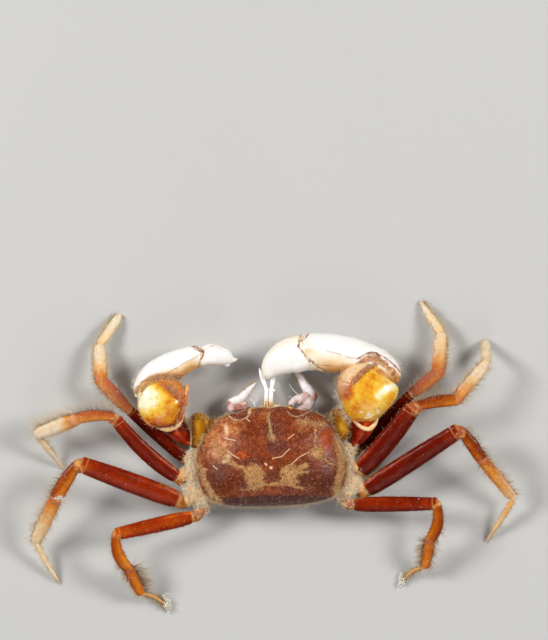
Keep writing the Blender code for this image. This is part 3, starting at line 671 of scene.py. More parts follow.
def make_leg(name):
    row = LEGS[name]
    right = "right" in name
    point = np.array(row[0])
    points = [point]
    for length, heading, rise in row[1:6]:
        point = point + heading_vector(heading, rise) * length
        points.append(point)
    wide = row[6]
    roll = 16 if right else -16
    # on the right the breadth direction points backwards, on the left it points forwards
    front_u = 0.5 if right else 0.0
    front = -1 if right else 1
    tubes = {}
    stout = 0.97 if name.endswith("4") or name == "leg_left_2" else 1.16
    base_shape = ((-0.1, 0.7), (0.0, 0.95), (0.2, 1.1), (0.38, 1.02), (0.5, 0.78), (0.6, 0.74), (0.82, 0.92), (0.95, 0.88),
                  (1.02, 0.55), (1.035, 0.15))
    tubes["base"] = limb_tube(points[0], points[1], base_shape, {"3": 1.5, "4": 1.15}.get(name[-1], 1.3), 1.05, 0,
                              relief=lambda u, v: 0.12 * noise(np.stack([np.cos(2 * np.pi * u) * 1.5, np.sin(2 * np.pi * u) * 1.5, v * 6], axis=-1), 0.9, 12, 2))
    near = points[1] + unit(points[2] - points[1]) * MERUS_GAP.get(name, 0.05)
    tubes["merus"] = limb_tube(near, points[2], MERUS_SHAPE, wide[0] * 1.08, max(0.7, wide[0] * 0.6), roll,
                               bow=MERUS_BOW.get(name, 0.0), relief=merus_relief(front), square=2.0)
    elbow = points[2] + np.array([*CARPUS_START.get(name, (0.0, 0.0)), 0.0])
    tubes["carpus"] = limb_tube(elbow, points[3], CARPUS_SHAPE, wide[1] * stout, wide[1] * 0.76, roll, bow=CARPUS_BOW.get(name, 0.0),
                                relief=lambda u, v: 0.05 * bump_at(u, 0.25 + 0.14 * front, 0.05) * fade(v, 0.1, 0.3)
                                * fade(v, 1.0, 0.85))
    tubes["propodus"] = limb_tube(points[3], points[4], PROPODUS_SHAPE, wide[2] * stout, wide[2] * 0.72, roll)
    tip = points[5].copy()
    tip[2] = 0.05
    slim = 0.8 if name.endswith("4") else 0.95 if name.endswith("3") or name == "leg_left_2" else 1.2
    blunt = name in ("leg_left_1", "leg_right_2")
    tubes["dactylus"] = limb_tube(points[4], tip, BLUNT_SHAPE if blunt else DACTYL_SHAPE, wide[3] * slim, wide[3] * slim * 0.8, roll,
                                  bow=DACTYL_BOW.get(name, 0.0))
    leg_tubes[name] = tubes
    carpus_white, propodus_white, dactyl_white = WHITENING[name]
    dark = DARKNESS[name]

    back_u = (front_u + 0.5) % 1.0
    # the facet that faces forwards and up, where a highlight is painted
    lit_u = front_u + (-0.1 if right else 0.1)
    hind = name.endswith("4")

    def merus_marks(u, v, p):
        cloud = noise(p, 0.8, 13, 3)
        tone = 0.4 - dark + 0.2 * fade(v, 0.7, 1.0) + 0.1 * cloud
        # painted highlight: a lighter band along the lit facet, and a lighter top on the hind legs and the left third
        # leg; painted shade: darker on the facet that faces backwards and up
        tone = tone + 0.36 * bump_at(u, lit_u, 0.045) * fade(v, 0.75, 0.15) * (0.7 + 0.6 * noise(p, 0.5, 17, 2))
        tone = tone + (0.14 * bump_at(u, 0.25, 0.1) if hind or name == "leg_left_3" else 0.0)
        tone = tone - 0.14 * bump_at(u, 0.25 + (-0.16 if right else 0.16), 0.08)
        rim = fade(v, 0.06, 0.02) * 0.95 + 0.6 * (bump_at(u, back_u, 0.03) + bump_at(u, front_u, 0.03)) * fade(v, 0.3, 0.1) + 0.5 * np.exp(-((v - 0.935) / 0.005) ** 2) + fade(v, 0.97, 0.99) * 0.5
        dots = fade(noise(p, 0.16, 23, 2), -0.1, 0.35)
        rim = rim + 0.6 * bump_at(u, back_u, 0.014) * dots + 0.4 * bump_at(u, front_u, 0.012) * dots
        # painted highlight: pale dots along the lit facet towards the near end
        rim = rim + 0.75 * bump_at(u, lit_u + (0.03 if right else -0.03), 0.016) * fade(v, 0.36, 0.1) * fade(v, 0.02, 0.08) * dots
        lower = bump_at(u, 0.75, 0.2)
        felt = fade(noise(p, 0.5, 3), 0.45, 0.8) * 0.25 * lower
        return {"tone": tone, "rim": np.clip(rim, 0, 1), "felt": felt, "pink": 0.35 * bump_at(u, back_u, 0.03)}

    def carpus_marks(u, v, p):
        cloud = noise(p, 0.6, 29, 3)
        tone = 0.3 - dark * 0.5 + 0.12 * v + carpus_white * 0.4 * fade(v, 0.5, 1.0) + 0.14 * cloud - (0.12 if name == "leg_right_3" else 0.0) + {"leg_left_1": 0.3, "leg_right_1": 0.2, "leg_left_2": 0.2}.get(name, 0.0)
        # painted highlight: lighter along the top; painted shade: darker on the front side
        tone = tone + 0.3 * bump_at(u, 0.25 + (-0.05 if right else 0.05), 0.1) - 0.16 * bump_at(u, front_u, 0.08)
        knee = fade(v, 0.13, 0.03) * fade(noise(p, 0.3, 31, 2), -0.5, 0.3)
        # painted highlight: a pale line along the back edge of the hind legs' carpus
        line = 0.85 * bump_at(u, back_u + (0.02 if right else -0.02), 0.018) * fade(v, 0.1, 0.25) if hind else 0.0
        rim = 0.85 * knee + fade(v, 0.965, 0.99) * 0.7 + line
        felt = carpus_white * fade(v, 0.55, 1.0) * fade(noise(p, 0.6, 5), -0.3, 0.5) * 0.9
        pink = 0.7 * bump_at(u, front_u, 0.04) + 0.45 * bump_at(u, back_u, 0.03) + 0.5 * fade(v, 0.16, 0.04)
        pink = pink + {"leg_left_1": 0.75, "leg_right_1": 0.7, "leg_left_2": 0.35}.get(name, 0.0) * (0.75 + 0.5 * noise(p, 0.5, 55, 2))
        return {"tone": tone, "rim": np.clip(rim, 0, 1), "felt": np.clip(felt, 0, 1), "pink": np.clip(pink, 0, 1)}

    def propodus_marks(u, v, p):
        cloud = noise(p, 0.6, 37, 3)
        reach = {"leg_left_2": 0.6, "leg_left_1": 0.75}.get(name, 0.85)
        tone = 0.14 + (0.2 + 0.7 * fade(v, 0.04, reach)) * propodus_white + 0.14 * cloud
        # painted highlight: lighter along the top; painted shade: darker on the back side
        tone = tone + 0.16 * bump_at(u, 0.25, 0.09) - 0.12 * bump_at(u, back_u, 0.08)
        stripe = bump_at(u, front_u + (-0.08 if right else 0.08), 0.11)
        felt = (propodus_white * (0.8 * fade(v, 0.15, reach) + 0.8 * stripe * fade(v, 0.0, 0.35)) * (0.75 + 0.4 * noise(p, 0.45, 9, 2))
                + 0.4 * fade(v, 0.9, 1.0))
        rim = fade(v, 0.05, 0.02) * 0.6 + fade(v, 0.96, 0.99) * 0.7
        pink = 0.75 * bump_at(u, back_u, 0.05) + 0.4 * bump_at(u, front_u, 0.03)
        return {"tone": tone, "rim": np.clip(rim, 0, 1), "felt": np.clip(felt, 0, 1), "pink": np.clip(pink * (1 - 0.6 * propodus_white), 0, 1)}

    def dactylus_marks(u, v, p):
        tone = 0.25 + 0.5 * dactyl_white + 0.35 * v * dactyl_white + 0.1 * noise(p, 0.5, 41, 2)
        felt = dactyl_white * (0.2 if name == "leg_left_2" else 0.5) * (0.7 + 0.4 * noise(p, 0.4, 11, 2)) + 0.5 * fade(v, 0.75, 1.0)
        rim = fade(v, 0.08, 0.02) * 0.7
        return {"tone": tone, "rim": np.clip(rim, 0, 1), "felt": np.clip(felt, 0, 1)}

    def base_marks(u, v, p):
        patch = fade(noise(p, 0.45, 57, 3), -0.6, 0.3)
        tone = 0.66 + 0.25 * noise(p, 0.8, 2, 2) - 0.3 * fade(v, 0.8, 1.0) - (0.45 * fade(v, 0.4, 0.6) * patch if hind else 0.0)
        pink = (1.1 if hind else 0.25) * fade(v, 0.4, 0.6) * patch
        return {"tone": tone, "rim": fade(v, 0.95, 0.99) * 0.8, "felt": fade(v, 0.85, 0.4) * (0.45 if hind else 0.75), "pink": np.clip(pink, 0, 1)}

    kinds = (("base", "base", base_marks, "leg_base", 40, 60), ("merus", "merus", merus_marks, "leg_merus", 64, 130),
             ("carpus", "carpus", carpus_marks, "leg_carpus", 52, 90),
             ("propodus", "propodus", propodus_marks, "leg_propodus", 52, 90),
             ("dactylus", "dactylus", dactylus_marks, "leg_dactylus", 40, 70))
    for kind, paint, marks, slot, around, along in kinds:
        tube = tubes[kind]
        grain = 0.012 if kind != "base" else 0.05

        def shape(u, v, p, tube=tube, grain=grain):
            uu, vv = u[:-2], v[:-2]
            _, n, _, _, _ = tube.frame(uu, vv)
            lift = grain * noise(p[:-2], 0.35, 21, 2) + grain * 0.8 * noise(p[:-2], 1.3, 22)
            return np.concatenate([n * lift[:, None], np.zeros((2, 3))])

        skin_piece(f"{name}_{kind}_shell", tube, M[paint], f"{name}_{kind}", around, along, marks=marks, shape=shape)
    # the rounded knee between merus and carpus
    way_in, way_out = unit(points[2] - points[1]), unit(points[3] - points[2])
    turn = math.degrees(math.atan2((way_in + way_out)[1], (way_in + way_out)[0]))
    girth = wide[0] * 1.08 * 0.8 / 2
    centre = points[2] + way_in * 0.05 + way_out * 0.18

    def knee_marks(u, v, p):
        cloud = noise(p, 0.3, 43, 3)
        return {"tone": 0.6 - dark * 0.5 + 0.3 * cloud, "rim": fade(cloud, -0.2, 0.5) * 0.9, "felt": 0 * u, "pink": 0.6 * fade(-cloud, -0.2, 0.5)}

    inward = unit(points[1] - points[2])
    skin_piece(f"{name}_ischium", Lump(points[1] + inward * (0.2 - MERUS_GAP.get(name, 0.05)) - np.array([0, 0, 0.06]), (0.62, wide[0] * 0.4, wide[0] * 0.3), row[2][1],
                                       relief=lambda u, v: 0.08 * noise(np.stack([np.cos(2 * np.pi * u) * 2, np.sin(2 * np.pi * u) * 2, v * 5], axis=-1), 0.9, 8, 2)),
               M["base"], None, 44, 34,
               marks=lambda u, v, p: {"tone": 0.02 + 0.3 * noise(p, 0.4, 47, 2), "rim": 0.2 * fade(noise(p, 0.3, 49, 2), 0.0, 0.5), "felt": 0 * u,
                                      "pink": 0.5 * fade(noise(p, 0.5, 53, 2), -0.2, 0.4) * hind})
    bend = points[3] + unit(points[4] - points[3]) * 0.06
    mean = unit(unit(points[4] - points[3]) + way_out)
    half_wide = wide[2] * stout / 2
    skin_piece(f"{name}_bend", Lump(bend, (half_wide * 1.04, half_wide * 0.97, wide[2] * 0.36), math.degrees(math.atan2(mean[1], mean[0])),
                                    relief=lambda u, v: 0.03 * noise(np.stack([np.cos(2 * np.pi * u) * 2, np.sin(2 * np.pi * u) * 2, v * 5], axis=-1), 0.9, 6, 2)),
               M["propodus"], None, 48, 36,
               marks=lambda u, v, p: {"tone": 0.14 + 0.3 * propodus_white + 0.2 * noise(p, 0.4, 63, 2), "felt": 0.35 * propodus_white + 0 * u,
                                      "rim": 0.2 * fade(noise(p, 0.3, 65, 2), 0.0, 0.5), "pink": 0.45 + 0 * u})
    skin_piece(f"{name}_knee", Lump(centre, (girth * 0.98, girth * 0.86, wide[0] * 0.29), turn,
                                    relief=lambda u, v: 0.05 * noise(np.stack([np.cos(2 * np.pi * u) * 2, np.sin(2 * np.pi * u) * 2, v * 5], axis=-1), 0.9, 3, 2)),
               M["carpus"], None, 48, 36, marks=knee_marks)


for leg in LEGS:
    make_leg(leg)


# ---------------------------------------------------------------- carapace


def measured(px, py):
    """A place read off the photograph with a ruler, turned into millimetres on the crab seen from above."""
    return np.array([(px - 272) * 0.094, (462 - py) * 0.094])


def spot(x, y, px, py, rx, ry, turn=0.0, soft=0.5):
    """1 inside an oval, fading to 0 outside. Centre and radii as read off the photograph."""
    cx, cy = measured(px, py)
    a = math.radians(turn)
    dx, dy = x - cx, y - cy
    e1 = (dx * math.cos(a) + dy * math.sin(a)) / (rx * 0.094)
    e2 = (-dx * math.sin(a) + dy * math.cos(a)) / (ry * 0.094)
    return fade(np.sqrt(e1 * e1 + e2 * e2), 1 + soft, 1 - soft)


def stroke(x, y, places, width, soft=0.6):
    """1 along a path through places, fading to 0 at its sides. Read off the photograph."""
    best = np.full(np.shape(x), 1e9)
    pts = [measured(*p) for p in places]
    for a, b in zip(pts, pts[1:]):
        ab = b - a
        t = np.clip(((x - a[0]) * ab[0] + (y - a[1]) * ab[1]) / (ab @ ab), 0, 1)
        best = np.minimum(best, np.hypot(x - a[0] - ab[0] * t, y - a[1] - ab[1] * t))
    half = width * 0.094 / 2
    return fade(best, half * (1 + soft), half * (1 - soft))


def felt_bands(x, y, ragged=True):
    """The tan velvet left standing in the hollows of the carapace."""
    if ragged:
        p = np.stack([x, y, np.zeros_like(x)], axis=-1)
        x = x + 0.16 * noise(p, 0.45, 31, 3)
        y = y + 0.16 * noise(p, 0.45, 47, 3)
    parts = [
        0.55 * stroke(x, y, [(216, 444), (222, 452), (228, 459)], 7, 0.9),
        0.85 * stroke(x, y, [(228, 460), (236, 464.5), (244, 468.5), (250, 473)], 4.5, 0.8),
        spot(x, y, 254.5, 473.5, 9.5, 9, 20, 0.4),
        0.95 * spot(x, y, 255.5, 483, 8, 6, 0, 0.5),
        0.6 * stroke(x, y, [(242, 489), (250, 487.6)], 2.5, 0.8),
        spot(x, y, 289.5, 472.5, 9.5, 8.5, 35, 0.4),
        0.9 * stroke(x, y, [(292, 471), (299, 468), (306, 464)], 5, 0.8),
        0.75 * stroke(x, y, [(296, 473), (302, 471), (307, 470.5)], 2.4, 0.8),
        0.95 * spot(x, y, 288.5, 480.5, 9.5, 5, 0, 0.4),
        stroke(x, y, [(250, 486.4), (264, 483.8), (276, 482.6), (289, 483.8)], 3.6, 0.6),
        0.85 * stroke(x, y, [(289, 484), (296, 485.4), (303, 487)], 2.8, 0.8),
        0.55 * stroke(x, y, [(300, 421.5), (308, 422), (315, 424), (323, 424.5)], 6, 0.9),
        0.7 * stroke(x, y, [(314.6, 425), (315, 436), (315, 447)], 3.0, 0.8),
        0.95 * spot(x, y, 316.6, 452.4, 6.2, 5.6, 0, 0.6),
        0.6 * stroke(x, y, [(320, 455), (325, 459), (331, 463)], 4, 0.9),
        0.72 * stroke(x, y, [(337, 436), (340.4, 448), (341, 462), (339.5, 475), (335.5, 489)], 7.5, 0.9),
        0.8 * stroke(x, y, [(200.4, 466), (204, 476), (208.5, 488), (213.5, 496), (221, 501)], 5.2, 0.8),
        0.85 * stroke(x, y, [(268.9, 413.5), (269.4, 424), (271.4, 436)], 2.5, 0.6),
        0.8 * spot(x, y, 272.3, 438, 3.4, 2.8, 20, 0.8),
    ]
    total = parts[0]
    for part in parts[1:]:
        total = np.maximum(total, part)
    return np.clip(total, 0, 1)


def orbit_masks(x, y):
    """The hollows of the two eye sockets, and the pale rim behind each."""
    left = spot(x, y, 239, 414, 9.6, 5.4, 0, 0.3)
    right = spot(x, y, 298.5, 410.6, 11, 5.4, 4, 0.3)
    rim = np.maximum(stroke(x, y, [(228.5, 415.5), (233, 418.8), (240, 420.2), (246.5, 417.8), (249.3, 414.3)], 1.0),
                     0.8 * stroke(x, y, [(287.5, 411.5), (292, 415.4), (296.7, 416.7), (302, 415.2), (306.7, 412.5), (310, 411)], 0.85))
    return np.maximum(left, right), rim


def body_edge(a, half, front, back):
    c, s = np.cos(a), np.sin(a)
    reach = np.where(s >= 0, front, back)
    bend = np.where(s >= 0, 2.4, 3.5)
    r = (np.abs(c / half) ** bend + np.abs(s / reach) ** bend) ** (-1 / bend)
    return r * c, r * s


def hollow(x, centre, reach):
    t = np.clip(np.abs((x - centre) / reach), 0, 1)
    return (1 - t * t) ** 2


class Carapace(Surface):
    outward = -1.0
    length = 6.0
    girth = 30.0

    def place(self, u, v):
        a = 2 * np.pi * u
        x, y = body_edge(a, 7.0, 5.15, 4.1)
        side = np.abs(x)
        lobes = 0.06 * hollow(side, 0.0, 0.6) + 0.06 * hollow(side, 3.05, 0.95) - 0.08 * hollow(side, 1.1, 0.9)
        y = y - np.where(y > 0, lobes, 0)
        nick = 0.09 * (hollow(y, 3.25, 0.28) + hollow(y, 2.15, 0.25)) * (y > 0) * fade(side, 4.5, 5.0)
        nick = nick - 0.05 * (hollow(y, 2.75, 0.5) + hollow(y, 1.75, 0.4)) * (y > 0) * fade(side, 4.5, 5.0)
        nick = nick + (0.44 * hollow(y, 1.9, 2.3) * (x > 0) + 0.2 * hollow(y, 2.6, 1.9) * (x < 0)) * fade(side, 4.2, 5.2)
        x, y = x * (1 - nick / 7), y * (1 - nick / 7)
        s0 = np.clip(v / 0.05, 0, 1)
        s1 = np.clip((v - 0.05) / 0.06, 0, 1)
        t = np.clip((v - 0.11) / 0.89, 0, 1)
        share = np.where(v < 0.05, 0.72 + 0.2 * s0, np.where(v < 0.11, 0.92 + 0.08 * np.sin(np.pi * s1 / 2), 1 - t ** 1.5))
        share = np.maximum(share, 0.004)
        px, py = x * share, y * share
        dome = np.maximum(1 - np.minimum(share, 1) ** 2.6, 0) ** 0.62
        fore = np.maximum(py, 0) / 5.15
        rear = np.maximum(-py, 0) / 4.1
        lift = -0.42 * fore ** 2 + 0.18 * rear ** 2
        top = 3.35 + (5.7 - 3.35) * dome + lift
        margin = 3.35 + lift
        turn = 2.92 + (margin - 2.92) * (1 - np.cos(np.pi * s1 / 2))
        z = np.where(v < 0.05, 2.9 + 0.02 * s0, np.where(v < 0.11, turn, top))
        p = spin_z(np.stack([px, py, z], axis=-1), BODY_YAW)
        wx, wy = p[..., 0], p[..., 1]
        over = fade(v, 0.11, 0.2)
        felt = felt_bands(wx, wy, ragged=False)
        bowl, rim = orbit_masks(wx, wy)
        relief = -0.13 * felt * fade(share, 1.0, 0.9)
        relief = relief + 0.1 * spot(wx, wy, 270, 452, 24, 20, 0, 0.9) + 0.07 * spot(wx, wy, 250, 432, 17, 14, 0, 0.8)
        relief = relief + 0.07 * spot(wx, wy, 292, 436, 18, 14, 0, 0.8) + 0.06 * spot(wx, wy, 326, 439, 8, 12, 0, 0.8)
        relief = relief + 0.07 * spot(wx, wy, 226, 480, 18, 15, 0, 0.8) + 0.07 * spot(wx, wy, 319, 476, 18, 15, 0, 0.8)
        relief = relief - 0.07 * stroke(wx, wy, [(269.3, 410), (270, 436)], 4, 0.9)
        relief = relief - 0.34 * bowl + 0.09 * rim
        back_line = np.abs(rear * 4.1 - (4.1 - 0.62))
        relief = relief - 0.06 * np.exp(-(back_line / 0.12) ** 2) * fade(np.abs(px), 5.4, 4.6)
        rolled = np.exp(-((share - 0.985) / 0.012) ** 2)
        relief = relief + 0.05 * rolled * (py < 0.5)
        relief = relief * over
        grain = 0.014 * noise(p, 0.16, 3, 2) * over + 0.02 * noise(p, 0.9, 5)
        p = p.copy()
        p[..., 2] = p[..., 2] + relief + grain
        return p


def carapace_marks(u, v, p):
    x, y = p[..., 0], p[..., 1]
    felt = felt_bands(x, y)
    bowl, rim = orbit_masks(x, y)
    edge_share = np.clip((v - 0.11) / 0.89, 0, 1)
    front_line = (edge_share < 0.05) * (y > 3.2) * fade(np.abs(x), 3.8, 3.0)
    hind_line = np.exp(-((v - 0.115) / 0.012) ** 2) * (y < 1.5)
    pale = np.maximum(rim * (0.35 + 0.65 * fade(noise(p, 0.3, 19, 2), -0.4, 0.3)), np.maximum(0.35 * front_line, 0.85 * hind_line))
    # pale spots, partly pale flecks on the shell and partly painted highlights, among them the glint of the left eye;
    # they go into the rim layer
    pale_flecks_and_glints = 0.75 * spot(x, y, 249.5, 411.5, 1.6, 3.0) + 0.9 * spot(x, y, 226.4, 429.4, 2.0, 5.0, 5, 0.7)
    pale_flecks_and_glints = pale_flecks_and_glints + 0.85 * spot(x, y, 228, 455.6, 2.6, 2.0, 0, 0.8) + 0.85 * spot(x, y, 226.2, 460.4, 3.4, 1.8, 20, 0.8)
    pale_flecks_and_glints = pale_flecks_and_glints + 0.9 * spot(x, y, 271.2, 467, 1.6, 1.4, 0, 0.6) + 0.9 * spot(x, y, 266, 463.4, 1.0, 1.6, 40, 0.6)
    pale = np.clip(np.maximum(pale, pale_flecks_and_glints), 0, 1)
    purple = 0.2 + 0 * x
    for px, py, rx, ry, amount in ((274, 429, 15, 13, 0.6), (277, 446, 13, 9, 0.75), (254, 460, 16, 5, 0.6),
                                   (308, 474, 22, 14, 0.55), (216, 478, 13, 13, 0.5), (243, 486, 7, 10, 0.55),
                                   (327, 482, 13, 13, 0.6), (203, 448, 4, 9, 0.5), (303, 433, 14, 12, 0.35),
                                   (272, 475, 7, 9, 0.6), (226, 440, 8, 9, 0.15), (334, 450, 5, 8, 0.4),
                                   (324, 427, 5, 5, 0.4)):
        purple = np.maximum(purple, amount * spot(x, y, px, py, rx, ry, 0, 0.9))
    strip = spot(x, y, 270, 501, 66, 6.5, 2, 0.35)
    purple = np.maximum(purple, 0.95 * strip)
    orange = 0.0 * x
    for px, py, rx, ry, amount in ((241.6, 454.4, 6.5, 5, 1.0), (325.5, 440, 6.5, 10, 0.3), (273, 492, 26, 4, 0.45),
                                   (260, 420, 9, 11, 0.5), (228, 478, 15, 13, 0.4), (315, 470, 10, 12, 0.6),
                                   (238, 438, 15, 10, 0.45), (292, 458, 16, 8, 0.4), (240, 423, 10, 6, 0.35),
                                   (237.5, 414, 7, 4.5, 0.5), (299.5, 411, 8, 4, 0.5)):
        orange = np.maximum(orange, amount * spot(x, y, px, py, rx, ry, 0, 0.8))
    tan = 0.8 * spot(x, y, 217, 444, 15, 19, 30, 0.9)
    tan = np.maximum(tan, 0.7 * spot(x, y, 228, 427, 16, 13, -10, 0.9))
    tan = np.maximum(tan, 0.75 * spot(x, y, 213, 431, 9, 9, 30, 0.9))
    tan = np.maximum(tan, 0.5 * spot(x, y, 304, 427, 12, 7, 0, 0.9))
    tan = np.maximum(tan, 0.55 * stroke(x, y, [(334, 440), (339, 455), (340, 470), (337, 485)], 8, 0.9))
    tan = np.maximum(tan, 0.6 * stroke(x, y, [(201, 455), (200, 468), (205, 482), (212, 494), (222, 503)], 8, 0.9))
    tan = np.maximum(tan, 0.35 * spot(x, y, 237, 416, 16, 7, 0, 0.9))
    tan = np.maximum(tan, 0.4 * spot(x, y, 262, 414, 22, 6, 0, 0.9))
    tan = np.maximum(tan, 0.45 * stroke(x, y, [(300, 421), (316, 424), (330, 430), (338, 442)], 7, 0.9))
    tan = np.maximum(tan, 0.7 * spot(x, y, 222, 447, 10, 11, 0, 0.7))
    tan = np.maximum(tan, 0.4 * spot(x, y, 237.5, 413, 7, 4.5))
    deep = np.maximum(0.9 * spot(x, y, 318, 479, 27, 18, 0, 0.8), 0.75 * spot(x, y, 226, 480, 24, 17, 0, 0.8))
    oval = spot(x, y, 325, 440, 6.8, 12, -8, 0.7)
    deep = np.maximum(deep, 0.4 * strip)
    under = fade(v, 0.085, 0.05)
    return {"felt": np.clip(felt * fade(v, 0.1, 0.125) + 0.8 * under, 0, 1), "rim": pale, "purple": np.clip(purple, 0, 1),
            "orange": np.clip(orange, 0, 1), "tan": np.clip(tan, 0, 1), "strip": strip, "bowl": bowl, "deep": deep, "oval": oval}


def line_mask(m, places, width, xy):
    """A fine line drawn across a piece seen from above, its width in millimetres."""
    total = None
    pts = [measured(*p) for p in places]
    for a, b in zip(pts, pts[1:]):
        ab = b - a
        ap = m.node("ShaderNodeVectorMath", operation="SUBTRACT")
        m.feed(ap.inputs[0], xy)
        ap.inputs[1].default_value = (a[0] * MM, a[1] * MM, 0)
        dot = m.node("ShaderNodeVectorMath", operation="DOT_PRODUCT")
        m.feed(dot.inputs[0], ap.outputs[0])
        scale = 1.0 / (float(ab @ ab) * MM)
        dot.inputs[1].default_value = (ab[0] * scale, ab[1] * scale, 0)
        t = m.math("ADD", dot.outputs["Value"], 0.0, clamp=True)
        part = m.node("ShaderNodeVectorMath", operation="SCALE")
        part.inputs[0].default_value = (ab[0] * MM, ab[1] * MM, 0)
        m.feed(part.inputs["Scale"], t)
        away = m.node("ShaderNodeVectorMath", operation="DISTANCE")
        m.feed(away.inputs[0], ap.outputs[0])
        m.feed(away.inputs[1], part.outputs[0])
        mask = m.span(away.outputs["Value"], width * 0.65 * MM, width * 0.3 * MM)
        total = mask if total is None else m.math("MAXIMUM", total, mask)
    return total


def flat_place(m):
    """Where a point is, seen from straight above, slightly shaken so that lines waver."""
    flat = m.node("ShaderNodeVectorMath", operation="MULTIPLY")
    m.feed(flat.inputs[0], m.place())
    flat.inputs[1].default_value = (1, 1, 0)
    shake = m.node("ShaderNodeTexNoise")
    m.feed(shake.inputs["Vector"], m.place())
    shake.inputs["Scale"].default_value = 1400.0
    shake.inputs["Detail"].default_value = 3.0
    centred = m.node("ShaderNodeVectorMath", operation="MULTIPLY_ADD")
    m.feed(centred.inputs[0], shake.outputs["Color"])
    centred.inputs[1].default_value = (0.00014, 0.00014, 0)
    centred.inputs[2].default_value = (-0.00007, -0.00007, 0)
    moved = m.node("ShaderNodeVectorMath", operation="ADD")
    m.feed(moved.inputs[0], flat.outputs[0])
    m.feed(moved.inputs[1], centred.outputs[0])
    return moved.outputs[0]


